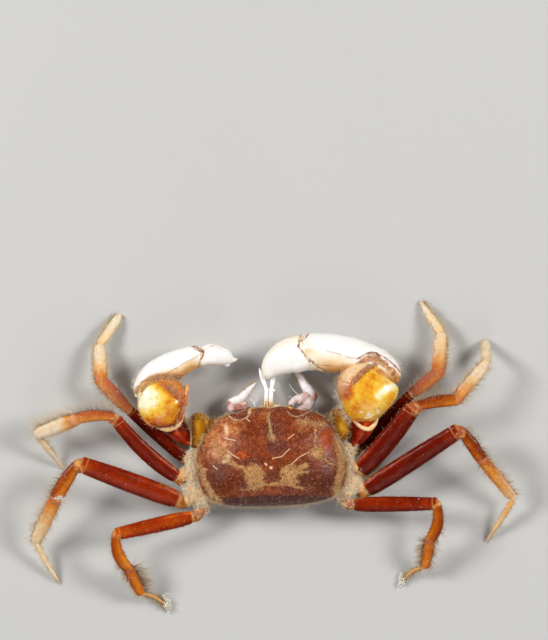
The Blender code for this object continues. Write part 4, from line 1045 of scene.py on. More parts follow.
def carapace_material():
    m = Paint("shell_carapace")
    cloud, fine = m.noise(1.5, 4, rough=0.6), m.noise(0.42, 4, rough=0.75)
    grit = m.noise(0.26, 4, rough=0.75)
    mixed = m.math("ADD", m.math("MULTIPLY", fine, 0.5), m.math("ADD", m.math("MULTIPLY", cloud, 0.15), m.math("MULTIPLY", grit, 0.35)))
    base = m.ramp(mixed, [(0.3, rgb(66, 18, 2)), (0.44, rgb(106, 38, 8)), (0.56, rgb(148, 66, 22)), (0.7, rgb(200, 120, 70))])
    purple_tint = m.ramp(m.math("ADD", m.math("MULTIPLY", grit, 0.6), m.math("MULTIPLY", fine, 0.4)),
                         [(0.3, rgb(50, 16, 8)), (0.44, rgb(84, 34, 20)), (0.56, rgb(118, 62, 48)), (0.7, rgb(190, 138, 120))])
    purple = m.math("ADD", m.attr("purple"), m.math("MULTIPLY", m.math("SUBTRACT", fine, 0.5), 0.9))
    colour = m.mix(m.span(purple, 0.2, 0.75), base, purple_tint)
    orange_tint = m.ramp(grit, [(0.36, rgb(122, 34, 2)), (0.5, rgb(164, 58, 6)), (0.64, rgb(204, 92, 24))])
    orange = m.math("ADD", m.attr("orange"), m.math("MULTIPLY", m.math("SUBTRACT", fine, 0.5), 0.7))
    colour = m.mix(m.span(orange, 0.3, 0.95), colour, orange_tint)
    tan_tint = m.ramp(fine, [(0.32, rgb(156, 82, 40)), (0.5, rgb(200, 120, 66)), (0.68, rgb(240, 182, 118))])
    tan = m.math("ADD", m.attr("tan"), m.math("MULTIPLY", m.math("SUBTRACT", fine, 0.5), 0.6))
    colour = m.mix(m.math("MULTIPLY", m.span(tan, 0.2, 0.9), 0.9), colour, tan_tint)
    colour = m.mix(m.math("MULTIPLY", m.attr("deep"), m.span(fine, 0.34, 0.62, 0.95, 0.6)), colour, rgb(76, 27, 4))
    oval_tint = m.ramp(m.math("ADD", m.attr("oval"), m.math("MULTIPLY", m.math("SUBTRACT", grit, 0.5), 0.3)),
                       [(0.25, rgb(146, 96, 90)), (0.5, rgb(148, 70, 40)), (0.85, rgb(168, 66, 14))])
    colour = m.mix(m.span(m.attr("oval"), 0.04, 0.3, 0.0, 0.8), colour, oval_tint)
    dots = m.span(m.cells(0.22), 0.24, 0.1)
    dots = m.math("MULTIPLY", dots, m.span(m.noise(0.9, 3), 0.42, 0.62))
    colour = m.mix(m.math("MULTIPLY", dots, 0.5), colour, rgb(224, 176, 150))
    strip = m.attr("strip")
    colour = m.mix(m.math("MULTIPLY", strip, 0.5), colour, rgb(50, 22, 18))
    bowl_dark = m.math("MULTIPLY", m.attr("bowl"), m.span(m.noise(0.3, 4, rough=0.7), 0.38, 0.58, 0.95, 0.3))
    colour = m.mix(bowl_dark, colour, rgb(96, 32, 4))
    felt = m.attr("felt")
    ragged = m.span(m.math("ADD", felt, m.math("MULTIPLY", m.math("SUBTRACT", m.noise(0.28, 5, rough=0.8), 0.5), 2.6)), 0.2, 0.9)
    fibre = m.noise(0.26, 4, rough=0.8)
    felt_tint = m.ramp(fibre, [(0.32, rgb(98, 44, 10)), (0.43, rgb(160, 92, 30)), (0.55, rgb(212, 146, 70)), (0.7, rgb(248, 208, 140))])
    holes = m.math("MULTIPLY", m.span(m.cells(0.34), 0.22, 0.1), m.span(m.noise(0.8, 3), 0.46, 0.56))
    felt_tint = m.mix(m.math("MULTIPLY", holes, 0.8), felt_tint, rgb(90, 44, 16))
    colour = m.mix(m.math("MULTIPLY", ragged, 0.95), colour, felt_tint)
    rim = m.math("MULTIPLY", m.attr("rim"), m.span(fine, 0.3, 0.55, 0.55, 1.0))
    colour = m.mix(rim, colour, rgb(246, 208, 168))
    xy = flat_place(m)
    scratch = None
    for places in ([(228, 450.5), (232, 453.6), (239, 457.6)], [(272.6, 457.7), (281.6, 455.8), (289.5, 448)],
                   [(291, 463.5), (299, 456.6), (309.2, 451.2)], [(287.9, 438), (293.8, 434)], [(246.8, 418.4), (250, 421)],
                   [(213, 465), (217.4, 468.6)], [(225, 437), (228.5, 438.8), (236, 439.6)], [(204, 467.5), (207.3, 469)],
                   [(264.6, 462.4), (266.8, 464.6)], [(270.2, 466.2), (271.6, 467.6)]):
        mask = line_mask(m, places, 0.085, xy)
        scratch = mask if scratch is None else m.math("MAXIMUM", scratch, mask)
    colour = m.mix(m.math("MULTIPLY", scratch, 0.85), colour, rgb(248, 206, 168))
    rough = m.math("ADD", m.math("MULTIPLY", m.noise(0.4, 3), 0.25), 0.26)
    rough = m.math("ADD", rough, m.math("MULTIPLY", ragged, 0.45), clamp=True)
    rough = m.math("SUBTRACT", rough, m.math("MULTIPLY", strip, 0.08), clamp=True)
    bumps = m.span(m.cells(0.14), 0.45, 0.05)
    normal = m.bump(m.math("ADD", m.math("MULTIPLY", bumps, 0.6), m.math("MULTIPLY", grit, 0.5)), 0.02)
    normal = m.bump(m.math("MULTIPLY", fibre, ragged), 0.07, normal=normal)
    normal = m.bump(scratch, 0.02, normal=normal)
    return m.finish(colour, rough, normal, coat=0.06, coat_rough=0.2, glow=0.08, glow_radius=(1.0, 0.35, 0.2), glow_scale=0.25, specular=0.22)


M["carapace"] = carapace_material()
carapace = Carapace()
skin_piece("carapace_shell", carapace, M["carapace"], "carapace", 520, 184, spread=0.25, marks=carapace_marks)


# ---------------------------------------------------------------- breastplate and tail


class Thorax(Surface):
    outward = 1.0
    length = 5.0
    girth = 26.0
    levels = np.array([(0.3, 0.2, 0.4, 2.84), (0.9, 0.93, 0.88, 2.84), (0.98, 1.0, 0.95, 2.8), (1.0, 0.95, 0.98, 2.0),
                       (0.97, 0.86, 1.0, 1.1), (0.87, 0.7, 0.97, 0.42), (0.76, 0.56, 0.91, 0.18), (0.66, 0.46, 0.85, 0.12),
                       (0.33, 0.23, 0.42, 0.12), (0.02, 0.02, 0.02, 0.12)])

    def place(self, u, v):
        a = 2 * np.pi * u
        knots = np.array([0, 0.1, 0.16, 0.28, 0.4, 0.52, 0.6, 0.68, 0.84, 1.0])
        read = curve_through(knots, self.levels, np.clip(v, 0, 1))
        x, y = body_edge(a, 5.35 * read[..., 0], 4.35 * np.maximum(read[..., 1], 0.02), 3.9 * np.maximum(read[..., 2], 0.02))
        z = np.maximum(read[..., 3], 0.12)
        groove, _ = thorax_lines(x, y)
        z = z + 0.07 * groove * fade(z, 1.2, 0.5)
        z = np.minimum(z + 0.012 * noise(np.stack([x, y, z], axis=-1), 0.25, 8, 2), 2.86)
        return spin_z(np.stack([x, y, z], axis=-1), BODY_YAW)


def thorax_lines(x, y):
    """The seams between the plates of the breast: one groove mask, one mask of the velvet along them."""
    side = np.abs(x)
    lines = np.zeros(np.shape(x))
    for a, b, c, d, width in ((0.75, 2.55, 2.2, 1.75, 0.14), (2.2, 1.75, 3.9, 2.55, 0.16), (0.95, 0.35, 4.6, 0.75, 0.05),
                              (1.3, -1.3, 4.9, -1.35, 0.05), (1.5, -2.65, 4.9, -2.3, 0.07), (3.75, 2.5, 4.9, 0.4, 0.07),
                              (0.1, 2.95, 2.9, 3.15, 0.12)):
        ex, ey = c - a, d - b
        t = np.clip(((side - a) * ex + (y - b) * ey) / (ex * ex + ey * ey), 0, 1)
        away = np.hypot(side - a - ex * t, y - b - ey * t)
        lines = np.maximum(lines, fade(away, width * 1.8, width * 0.4))
    velvet = lines * 1.0
    beside = np.exp(-((side - tail_half(y) - 0.12) / 0.14) ** 2) * (y < 2.3)
    return lines, np.clip(np.maximum(velvet, beside), 0, 1)


def tail_half(y):
    t = np.clip((1.9 - y) / (1.9 + 4.25), 0, 1)
    return 0.34 + 0.5 * np.minimum(t / 0.22, 1.0) ** 0.6 + 0.62 * t ** 2.2


def thorax_marks(u, v, p):
    q = spin_z(p, -BODY_YAW)
    x, y, z = q[..., 0], q[..., 1], q[..., 2]
    _, velvet = thorax_lines(x, y)
    n = noise(p, 0.7, 12, 3)
    felt = np.maximum(velvet * 0.85, 0.8 * fade(z, 0.7, 1.5))
    felt = np.maximum(felt, 0.35 * fade(n, 0.1, 0.6))
    return {"felt": np.clip(felt, 0, 1), "rim": 0 * x, "purple": np.clip(0.55 + 0.5 * n - 0.3 * (y < 0.2), 0, 1),
            "orange": np.clip(0.7 * fade(noise(p, 1.6, 19, 2), 0.0, 0.6) * fade(z, 1.0, 0.4), 0, 1),
            "tan": 0.45 * fade(y, 2.2, 3.2), "strip": 0 * x, "bowl": 0 * x}


def breast_material():
    m = Paint("shell_breast")
    cloud, fine, grit = m.noise(1.3, 4, rough=0.6), m.noise(0.25, 4, rough=0.7), m.noise(0.09, 4, rough=0.7)
    base = m.ramp(m.math("ADD", m.math("MULTIPLY", fine, 0.6), m.math("MULTIPLY", cloud, 0.4)),
                  [(0.3, rgb(92, 44, 32)), (0.48, rgb(128, 66, 48)), (0.62, rgb(150, 90, 68)), (0.78, rgb(182, 130, 104))])
    purple_tint = m.ramp(grit, [(0.3, rgb(84, 48, 42)), (0.55, rgb(126, 88, 78)), (0.75, rgb(168, 134, 120))])
    colour = m.mix(m.span(m.attr("purple"), 0.2, 0.9), base, purple_tint)
    orange_tint = m.ramp(fine, [(0.3, rgb(128, 50, 24)), (0.55, rgb(158, 72, 40)), (0.75, rgb(186, 110, 70))])
    colour = m.mix(m.span(m.attr("orange"), 0.2, 0.9), colour, orange_tint)
    colour = m.mix(m.attr("tan"), colour, m.ramp(fine, [(0.3, rgb(176, 116, 80)), (0.7, rgb(224, 178, 138))]))
    felt = m.attr("felt")
    ragged = m.span(m.math("ADD", felt, m.math("MULTIPLY", m.math("SUBTRACT", m.noise(0.15, 4, rough=0.7), 0.5), 0.8)), 0.35, 0.7)
    fibre = m.noise(0.07, 4, rough=0.75)
    felt_tint = m.ramp(fibre, [(0.28, rgb(140, 96, 56)), (0.5, rgb(190, 142, 92)), (0.75, rgb(226, 188, 140))])
    colour = m.mix(m.math("MULTIPLY", ragged, 0.92), colour, felt_tint)
    rough = m.math("ADD", m.math("MULTIPLY", m.noise(0.4, 3), 0.25), 0.34)
    rough = m.math("ADD", rough, m.math("MULTIPLY", ragged, 0.4), clamp=True)
    normal = m.bump(m.math("ADD", m.math("MULTIPLY", m.span(m.cells(0.15), 0.45, 0.05), 0.5), m.math("MULTIPLY", grit, 0.5)), 0.02)
    normal = m.bump(m.math("MULTIPLY", fibre, ragged), 0.06, normal=normal)
    return m.finish(colour, rough, normal, coat=0.15, coat_rough=0.25, glow=0.12, glow_scale=0.3, glow_radius=(1.0, 0.4, 0.25))


M["breast"] = breast_material()
thorax = Thorax()
skin_piece("breast_shell", thorax, M["breast"], "sternum", 260, 150, spread=0.1, marks=thorax_marks)


class Tail(Surface):
    """The narrow tail folded under the breast, with the seams between its plates."""
    outward = 1.0
    length = 8.0
    girth = 4.0
    line = np.array([(1.93, 0.3, 0.1), (1.9, 0.08, 0.34), (1.7, 0.0, 0.62), (1.3, 0.0, 0.78), (0.5, 0.0, 0.88), (-0.7, 0.0, 1.0),
                     (-2.0, 0.0, 1.12), (-3.35, 0.0, 1.34), (-4.0, 0.28, 1.52), (-4.28, 1.0, 1.6), (-4.24, 2.1, 1.62),
                     (-4.2, 2.2, 1.1)])
    inward = np.array([(0, 1.0), (0, 1.0), (0, 1.0), (0, 1.0), (0, 1.0), (0, 1.0), (0, 1.0), (0.0, 1.0), (0.6, 0.8),
                       (1.0, 0.1), (1.0, 0.0), (1.0, 0.0)])

    def place(self, u, v):
        gaps = np.hypot(np.diff(self.line[:, 0]), np.diff(self.line[:, 1])) + 0.02
        knots = np.concatenate([[0], np.cumsum(gaps)])
        knots = knots / knots[-1]
        read = curve_through(knots, self.line, np.clip(v, 0, 1))
        inward = unit(curve_through(knots, self.inward, np.clip(v, 0, 1)))
        a = 2 * np.pi * u
        c, s = np.cos(a), np.sin(a)
        across = np.sign(c) * np.abs(c) ** 0.55
        depth = 0.27 * (1 + np.sign(s) * np.abs(s) ** 0.5)
        ring = np.zeros(np.shape(u))
        for at in (0.16, 0.27, 0.4, 0.54, 0.67, 0.8):
            ring = np.maximum(ring, np.exp(-((v - at) / 0.006) ** 2))
        half = read[..., 2] * (1 - 0.045 * ring)
        depth = depth + 0.05 * ring * (s < 0) * (0.27 - depth > 0)
        y = read[..., 0] + inward[..., 0] * depth
        z = np.maximum(read[..., 1] + inward[..., 1] * depth, 0.0)
        z = np.minimum(z, 2.86)
        return spin_z(np.stack([-across * half, y, z], axis=-1), BODY_YAW)


def tail_marks(u, v, p):
    q = spin_z(p, -BODY_YAW)
    x, y, z = q[..., 0], q[..., 1], q[..., 2]
    ring = np.zeros(np.shape(u))
    for at in (0.16, 0.27, 0.4, 0.54, 0.67, 0.8):
        ring = np.maximum(ring, np.exp(-((v - at) / 0.008) ** 2))
    side = fade(np.abs(x) / np.maximum(tail_half(y), 0.3), 0.72, 0.95)
    felt = np.maximum(0.8 * side, 0.7 * ring)
    felt = np.maximum(felt, 0.95 * np.exp(-((x / 0.28) ** 2)) * fade(y, 0.2, 0.0) * fade(y, -1.3, -1.0))
    return {"felt": np.clip(felt, 0, 1), "rim": 0 * x, "purple": 0.25 + 0 * x, "orange": 0.6 * fade(y, -1.0, 0.5),
            "tan": 0.8 * fade(y, -0.8, -1.6) * fade(y, -3.4, -2.8), "strip": 0 * x, "bowl": 0 * x}


tail = Tail()
skin_piece("tail_shell", tail, M["breast"], "tail", 72, 190, spread=0.1, marks=tail_marks)


# ---------------------------------------------------------------- claws and their arms


def claw_material():
    m = Paint("shell_claw")
    cloud, fine = m.noise(1.8, 3), m.noise(0.3, 4, rough=0.6)
    cream = m.math("ADD", m.attr("cream"), m.math("MULTIPLY", m.math("SUBTRACT", cloud, 0.5), 0.5))
    colour = m.ramp(cream, [(0.1, rgb(253, 249, 246)), (0.34, rgb(250, 238, 216)), (0.62, rgb(240, 208, 156)), (0.9, rgb(216, 160, 98))])
    stain = m.math("ADD", m.attr("stain"), m.math("MULTIPLY", m.math("SUBTRACT", fine, 0.5), 0.8))
    colour = m.mix(m.math("MULTIPLY", m.span(stain, 0.3, 0.95), 0.9), colour,
                   m.ramp(m.noise(0.4, 4, rough=0.7), [(0.34, rgb(128, 60, 20)), (0.5, rgb(196, 124, 62)), (0.68, rgb(240, 192, 132))]))
    brown = m.math("MULTIPLY", m.attr("brown"), m.span(m.noise(0.6, 4, rough=0.7), 0.38, 0.56, 0.25, 1.0))
    colour = m.mix(brown, colour, m.ramp(m.noise(0.5, 4, rough=0.7), [(0.36, rgb(112, 50, 10)), (0.52, rgb(160, 90, 30)), (0.64, rgb(216, 156, 92))]))
    faint = m.math("MULTIPLY", m.attr("faint"), m.span(m.noise(0.7, 3), 0.35, 0.6, 0.15, 0.6))
    colour = m.mix(faint, colour, rgb(190, 134, 76))
    specks = m.math("MULTIPLY", m.span(m.cells(0.3), 0.11, 0.06), m.span(m.noise(0.9, 3), 0.55, 0.66))
    colour = m.mix(m.math("MULTIPLY", specks, 0.5), colour, rgb(140, 84, 44))
    felt = m.attr("felt")
    ragged = m.span(m.math("ADD", felt, m.math("MULTIPLY", m.math("SUBTRACT", m.noise(0.14, 4, rough=0.7), 0.5), 0.8)), 0.35, 0.65)
    fibre = m.noise(0.07, 4, rough=0.75)
    felt_tint = m.ramp(m.noise(0.3, 4, rough=0.75), [(0.34, rgb(126, 66, 34)), (0.5, rgb(190, 126, 76)), (0.66, rgb(240, 200, 148))])
    colour = m.mix(m.math("MULTIPLY", ragged, 0.9), colour, felt_tint)
    rough = m.math("ADD", m.math("MULTIPLY", m.noise(0.5, 3), 0.12), 0.2)
    rough = m.math("ADD", rough, m.math("MULTIPLY", m.math("MAXIMUM", ragged, brown), 0.45), clamp=True)
    pits = m.math("MULTIPLY", m.span(m.cells(0.45), 0.12, 0.0), m.span(m.noise(1.2, 2), 0.45, 0.6))
    normal = m.bump(pits, 0.02)
    normal = m.bump(m.math("SUBTRACT", 1.0, m.math("MAXIMUM", brown, faint)), 0.05, normal=normal)
    normal = m.bump(fine, 0.008, normal=normal)
    normal = m.bump(m.math("MULTIPLY", fibre, ragged), 0.06, normal=normal)
    return m.finish(colour, rough, normal, coat=0.3, coat_rough=0.1, glow=0.2, glow_radius=(1.0, 0.8, 0.6), glow_scale=0.35)


def amber_material():
    m = Paint("shell_amber")
    cloud, fine, grit = m.noise(1.3, 3), m.noise(0.35, 4, rough=0.65), m.noise(0.1, 4, rough=0.7)
    tone = m.math("ADD", m.attr("tone"), m.math("MULTIPLY", m.math("SUBTRACT", cloud, 0.5), 0.45))
    tone = m.math("ADD", tone, m.math("MULTIPLY", m.math("SUBTRACT", fine, 0.5), 0.5))
    colour = m.ramp(tone, [(0.02, rgb(136, 40, 6)), (0.2, rgb(192, 84, 12)), (0.38, rgb(222, 134, 14)), (0.56, rgb(238, 180, 40)),
                           (0.78, rgb(250, 216, 110)), (1.0, rgb(255, 246, 214))])
    brown = m.math("MULTIPLY", m.span(m.math("ADD", m.noise(0.5, 4, rough=0.8), m.math("MULTIPLY", grit, 0.3)), 0.7, 0.84), 0.4)
    colour = m.mix(brown, colour, rgb(176, 92, 16))
    pale = m.attr("rim")
    colour = m.mix(m.math("MULTIPLY", pale, m.span(fine, 0.3, 0.5, 0.6, 1.0)), colour, rgb(248, 230, 196))
    felt = m.attr("felt")
    ragged = m.span(m.math("ADD", felt, m.math("MULTIPLY", m.math("SUBTRACT", m.noise(0.14, 4, rough=0.7), 0.5), 0.8)), 0.35, 0.65)
    fibre = m.noise(0.07, 4, rough=0.75)
    felt_tint = m.ramp(m.noise(0.3, 4, rough=0.75), [(0.34, rgb(112, 52, 24)), (0.5, rgb(176, 108, 66)), (0.66, rgb(236, 188, 136))])
    colour = m.mix(m.math("MULTIPLY", ragged, 0.8), colour, felt_tint)
    edge = m.attr("edge")
    colour = m.mix(m.math("MULTIPLY", edge, m.span(fine, 0.3, 0.5, 0.4, 0.95)), colour, rgb(120, 50, 14))
    rough = m.math("ADD", m.math("MULTIPLY", m.noise(0.35, 3), 0.2), 0.16)
    rough = m.math("ADD", rough, m.math("MULTIPLY", ragged, 0.4), clamp=True)
    height = m.math("ADD", m.math("MULTIPLY", m.span(m.cells(0.22), 0.4, 0.05), 0.35), m.math("MULTIPLY", fine, 0.6))
    normal = m.bump(height, 0.02)
    normal = m.bump(cloud, 0.05, normal=normal)
    normal = m.bump(m.math("MULTIPLY", fibre, ragged), 0.06, normal=normal)
    return m.finish(colour, rough, normal, coat=0.6, coat_rough=0.06, glow=0.2, glow_radius=(1.0, 0.4, 0.1), glow_scale=0.4, specular=0.3)


M["claw"] = claw_material()
M["amber"] = amber_material()
M["arm"] = shell_material("shell_arm", [(0.0, rgb(66, 3, 0)), (0.32, rgb(118, 12, 1)), (0.58, rgb(176, 42, 3)), (0.85, rgb(216, 96, 18))],
                          gloss=0.24, coat=0.5, speck=0.2, dark_amount=0.5, felt_colour=rgb(226, 180, 132))

claw_tubes = {}


CLAW_LINES = {
    # seams and scars of the claws as read off the photograph, with their widths there
    "right": {"brown": (([(356.9, 358.9), (364, 354.8), (370.5, 351.8), (375.3, 352.4), (381.7, 355.6), (389.7, 361.2), (396.2, 367), (400, 372)], 1.8),
                        ([(366, 354.5), (372, 353), (378, 355.5)], 3.6),
                        ([(309, 332), (305.5, 338.3), (299.4, 342.2), (298, 346), (301.5, 350.6), (307, 358), (312, 362)], 2.1),
                        ([(302.4, 332.6), (300, 337), (298.4, 341.5)], 1.3), ([(312, 362), (318, 367), (327, 371.5)], 1.0)),
              "faint": (([(327, 351), (338, 353.6), (349, 357.5), (356, 358.2), (361.5, 359.2)], 1.2), ([(311, 362.6), (321, 365.4), (333, 366)], 0.9))},
    "left": {"brown": (([(190.6, 345.3), (197, 346.4), (202.6, 350), (204, 351.8), (202.3, 357), (198.2, 366.6)], 1.8),
                       ([(191.5, 345.8), (195.6, 348.8), (202.4, 351.9)], 1.4)),
             "faint": (([(204, 352.6), (190, 360.2), (177, 367.8), (172.5, 370.6), (167, 373.6), (161.4, 374.2), (152.6, 377.2)], 1.3),
                       ([(204.3, 350.6), (209, 347), (216.5, 344.4)], 1.0))},
}


def claw_lines(side, p, above):
    shaken = p[..., :2] + 0.05 * np.stack([noise(p, 0.4, 51, 3), noise(p, 0.4, 57, 3)], axis=-1)
    found = {}
    for kind, lines in CLAW_LINES[side].items():
        total = 0.0
        for places, width in lines:
            total = np.maximum(total, stroke(shaken[..., 0], shaken[..., 1], places, width, 0.5))
        found[kind] = total * above
    return found


def claw_marks_right(u, v, p):
    x, y, z = p[..., 0], p[..., 1], p[..., 2]
    up = fade(z, 2.9, 3.6)
    high = fade(z, 3.3, 4.1)
    felt = 0.8 * stroke(x, y, [(350, 384), (360, 376), (370, 368), (378, 361)], 6, 0.8) * high
    socket = stroke(x, y, [(358, 365), (367, 358.5), (377, 359), (387, 366), (395, 375), (400, 385)], 7.5, 0.6) * up
    felt = np.maximum(felt, 0.55 * stroke(x, y, [(368, 357), (377, 358), (386, 364)], 5, 0.7) * up)
    stain = np.maximum(0.95 * socket, 0.65 * spot(x, y, 349, 371, 14, 8, -30, 0.9) * up)
    stain = np.maximum(stain, 0.6 * stroke(x, y, [(304, 335), (301, 340)], 4, 0.8) * up)
    below = (10.9 - 0.236 * (x - 2.82)) - y
    cream = 0.02 + 0.3 * fade(below, -0.05, 0.2) * up + 0.55 * fade(below, 0.2, 1.4) * fade(x, 3.2, 5.6) * up
    cream = cream + 0.35 * spot(x, y, 306, 346, 8, 8, 0, 0.9) * up
    return {"felt": felt, "stain": stain, "cream": np.clip(cream, 0, 1)} | claw_lines("right", p, fade(z, 2.4, 2.9))


def claw_marks_left(u, v, p):
    x, y, z = p[..., 0], p[..., 1], p[..., 2]
    up = fade(z, 2.8, 3.4)
    felt = 0.75 * stroke(x, y, [(140, 391), (147, 383), (155, 378), (166, 376.5), (180, 379.5)], 6.5, 0.8) * up
    stain = 0.9 * stroke(x, y, [(137, 391), (145, 383), (153, 377.5), (163, 376), (176, 376.5), (185, 379)], 8, 0.9) * up
    stain = np.maximum(stain, 0.55 * stroke(x, y, [(193, 346), (201, 350)], 3.5, 0.8) * up)
    below = (10.28 + 0.5 * (x + 6.39)) - y
    cream = 0.04 + 0.28 * fade(below, -0.05, 0.2) * up + 0.6 * stroke(x, y, [(150, 384), (165, 377), (182, 375), (193, 368)], 13, 0.9) * up
    cream = cream + 0.2 * fade(z, 2.6, 2.0)
    return {"felt": felt, "stain": stain, "cream": np.clip(cream, 0, 1)} | claw_lines("left", p, fade(z, 2.4, 2.9))


def finger_marks(side):
    def marks(u, v, p):
        x, y, z = p[..., 0], p[..., 1], p[..., 2]
        cream = 0.06 + 0.35 * fade(v, 0.25, 0.0) + 0.3 * bump_at(u, 0.0, 0.12) + 0.2 * fade(v, 0.8, 1.0)
        return {"felt": 0 * x, "stain": 0.5 * np.exp(-((v - 0.11) / 0.03) ** 2), "cream": np.clip(cream, 0, 1)} | claw_lines(side, p, fade(z, 2.4, 2.9))
    return marks


def claw_relief(teeth_u, first, last, size, count):
    def relief(u, v):
        w = 0.05 * noise(np.stack([u * 3, v * 6, 0 * u], axis=-1), 0.8, 77, 2)
        t = (v - first) / (last - first)
        inside = fade(t, -0.02, 0.05) * fade(t, 1.02, 0.95)
        tooth = (0.5 - 0.5 * np.cos(2 * np.pi * np.clip(t, 0, 1) * count)) ** 0.8
        return w * 0.4 + size * tooth * inside * bump_at(u, teeth_u, 0.035)
    return relief


RIGHT_PALM = ((11.55, 7.35, 3.5, .25, .3), (11.4, 7.95, 3.45, .76, .85), (10.9, 8.6, 3.42, 1.16, 1.35), (9.95, 9.25, 3.38, 1.4, 1.6),
              (8.75, 9.75, 3.35, 1.52, 1.74), (7.3, 10.12, 3.3, 1.68, 1.8), (5.6, 10.22, 3.25, 1.86, 1.8), (4.3, 10.3, 3.15, 1.86, 1.72),
              (3.6, 10.35, 3.05, 1.8, 1.62), (3.2, 10.2, 2.45, 1.68, 1.0), (2.2, 9.95, 2.35, 1.62, .92), (1.2, 9.55, 2.25, 1.45, .8),
              (.3, 9.0, 2.2, 1.1, .62), (-.25, 8.35, 2.2, .65, .42), (-.42, 7.9, 2.2, .22, .2))
RIGHT_FINGER = ((3.75, 10.42, 3.3, 1.0, .7), (3.3, 10.38, 3.35, 1.62, 1.22), (2.5, 10.2, 3.35, 1.74, 1.28), (1.5, 9.85, 3.3, 1.7, 1.2),
                (.6, 9.35, 3.2, 1.4, 1.0), (-.05, 8.75, 3.05, 1.05, .75), (-.38, 8.15, 2.95, .55, .5), (-.42, 7.85, 2.9, .18, .2))
LEFT_PALM = ((-12.62, 6.1, 3.3, .25, .25), (-12.45, 6.75, 3.3, .62, .7), (-11.9, 7.45, 3.22, 1.0, 1.05), (-11.1, 8.1, 3.18, 1.28, 1.25),
             (-10.2, 8.6, 3.15, 1.38, 1.32), (-9.0, 9.2, 3.1, 1.34, 1.3), (-7.9, 9.65, 3.0, 1.2, 1.22), (-7.1, 9.9, 2.95, 1.08, 1.12),
             (-6.7, 9.95, 2.55, 1.05, .75), (-5.9, 9.95, 2.45, 1.0, .66), (-5.0, 9.8, 2.4, .85, .52), (-4.4, 9.45, 2.4, .5, .36),
             (-4.12, 9.0, 2.38, .18, .16))
LEFT_FINGER = ((-7.0, 10.0, 3.2, .6, .5), (-6.5, 10.0, 3.3, 1.0, .82), (-5.9, 10.1, 3.32, 1.02, .86), (-5.4, 10.1, 3.27, 1.0, .84),
               (-4.85, 10.0, 3.16, .9, .76), (-4.35, 9.85, 3.04, .76, .64), (-3.98, 9.7, 2.95, .52, .48), (-3.7, 9.62, 2.88, .3, .3),
               (-3.45, 9.63, 2.83, .17, .18), (-3.25, 9.68, 2.78, .05, .06))
CARPUS_ROWS = {
    "right": ((8.35, 3.85, 3.8, .3, .3), (8.36, 4.15, 3.88, 1.1, .9), (8.5, 4.9, 4.05, 1.86, 1.45), (8.72, 5.9, 4.2, 2.56, 1.85),
              (8.95, 6.9, 4.25, 2.92, 1.95), (9.02, 7.5, 4.18, 2.76, 1.85), (9.2, 8.15, 4.0, 2.2, 1.62), (9.5, 8.75, 3.8, 1.35, 1.2),
              (9.68, 9.1, 3.62, .5, .8)),
    "left": ((-9.85, 3.35, 3.65, .3, .3), (-9.9, 3.62, 3.75, .95, .8), (-10.22, 4.4, 3.9, 1.8, 1.35), (-10.42, 5.3, 4.02, 2.2, 1.6),
             (-10.3, 6.1, 4.02, 2.32, 1.6), (-10.0, 6.9, 3.85, 2.04, 1.4), (-9.85, 7.4, 3.68, 1.5, 1.05), (-9.8, 7.75, 3.5, .5, .5)),
}
MERUS_ROWS = {
    "right": ((7.6, 1.5, 2.3, .2, .2), (7.75, 1.8, 2.5, .48, .45), (8.2, 2.6, 2.8, .86, .8), (8.55, 3.5, 2.95, 1.16, 1.02),
              (8.8, 4.5, 3.05, 1.32, 1.14), (9.05, 5.4, 3.08, 1.36, 1.15), (9.2, 5.8, 3.1, .9, .8)),
    "left": ((-7.7, 1.7, 2.25, .2, .2), (-7.95, 1.95, 2.42, .5, .44), (-8.5, 2.6, 2.7, .84, .78), (-9.2, 3.6, 2.88, 1.1, .96),
             (-9.75, 4.6, 2.98, 1.12, .98), (-9.95, 5.0, 3.0, .7, .6)),
}
ISCHIUM_ROWS = {
    "right": ((4.0, 3.5, 1.7, .45, .4), (4.7, 3.45, 1.95, .75, .62), (5.5, 3.3, 2.2, .95, .7), (6.2, 2.95, 2.4, .95, .66), (6.85, 2.4, 2.55, .7, .5),
              (7.1, 2.15, 2.6, .3, .25)),
    "left": ((-4.0, 3.5, 1.65, .42, .36), (-4.8, 3.4, 1.85, .72, .6), (-5.8, 3.1, 2.15, .9, .66), (-6.5, 2.65, 2.35, .88, .62), (-7.05, 2.2, 2.46, .6, .45),
             (-7.3, 2.0, 2.5, .25, .25)),
}


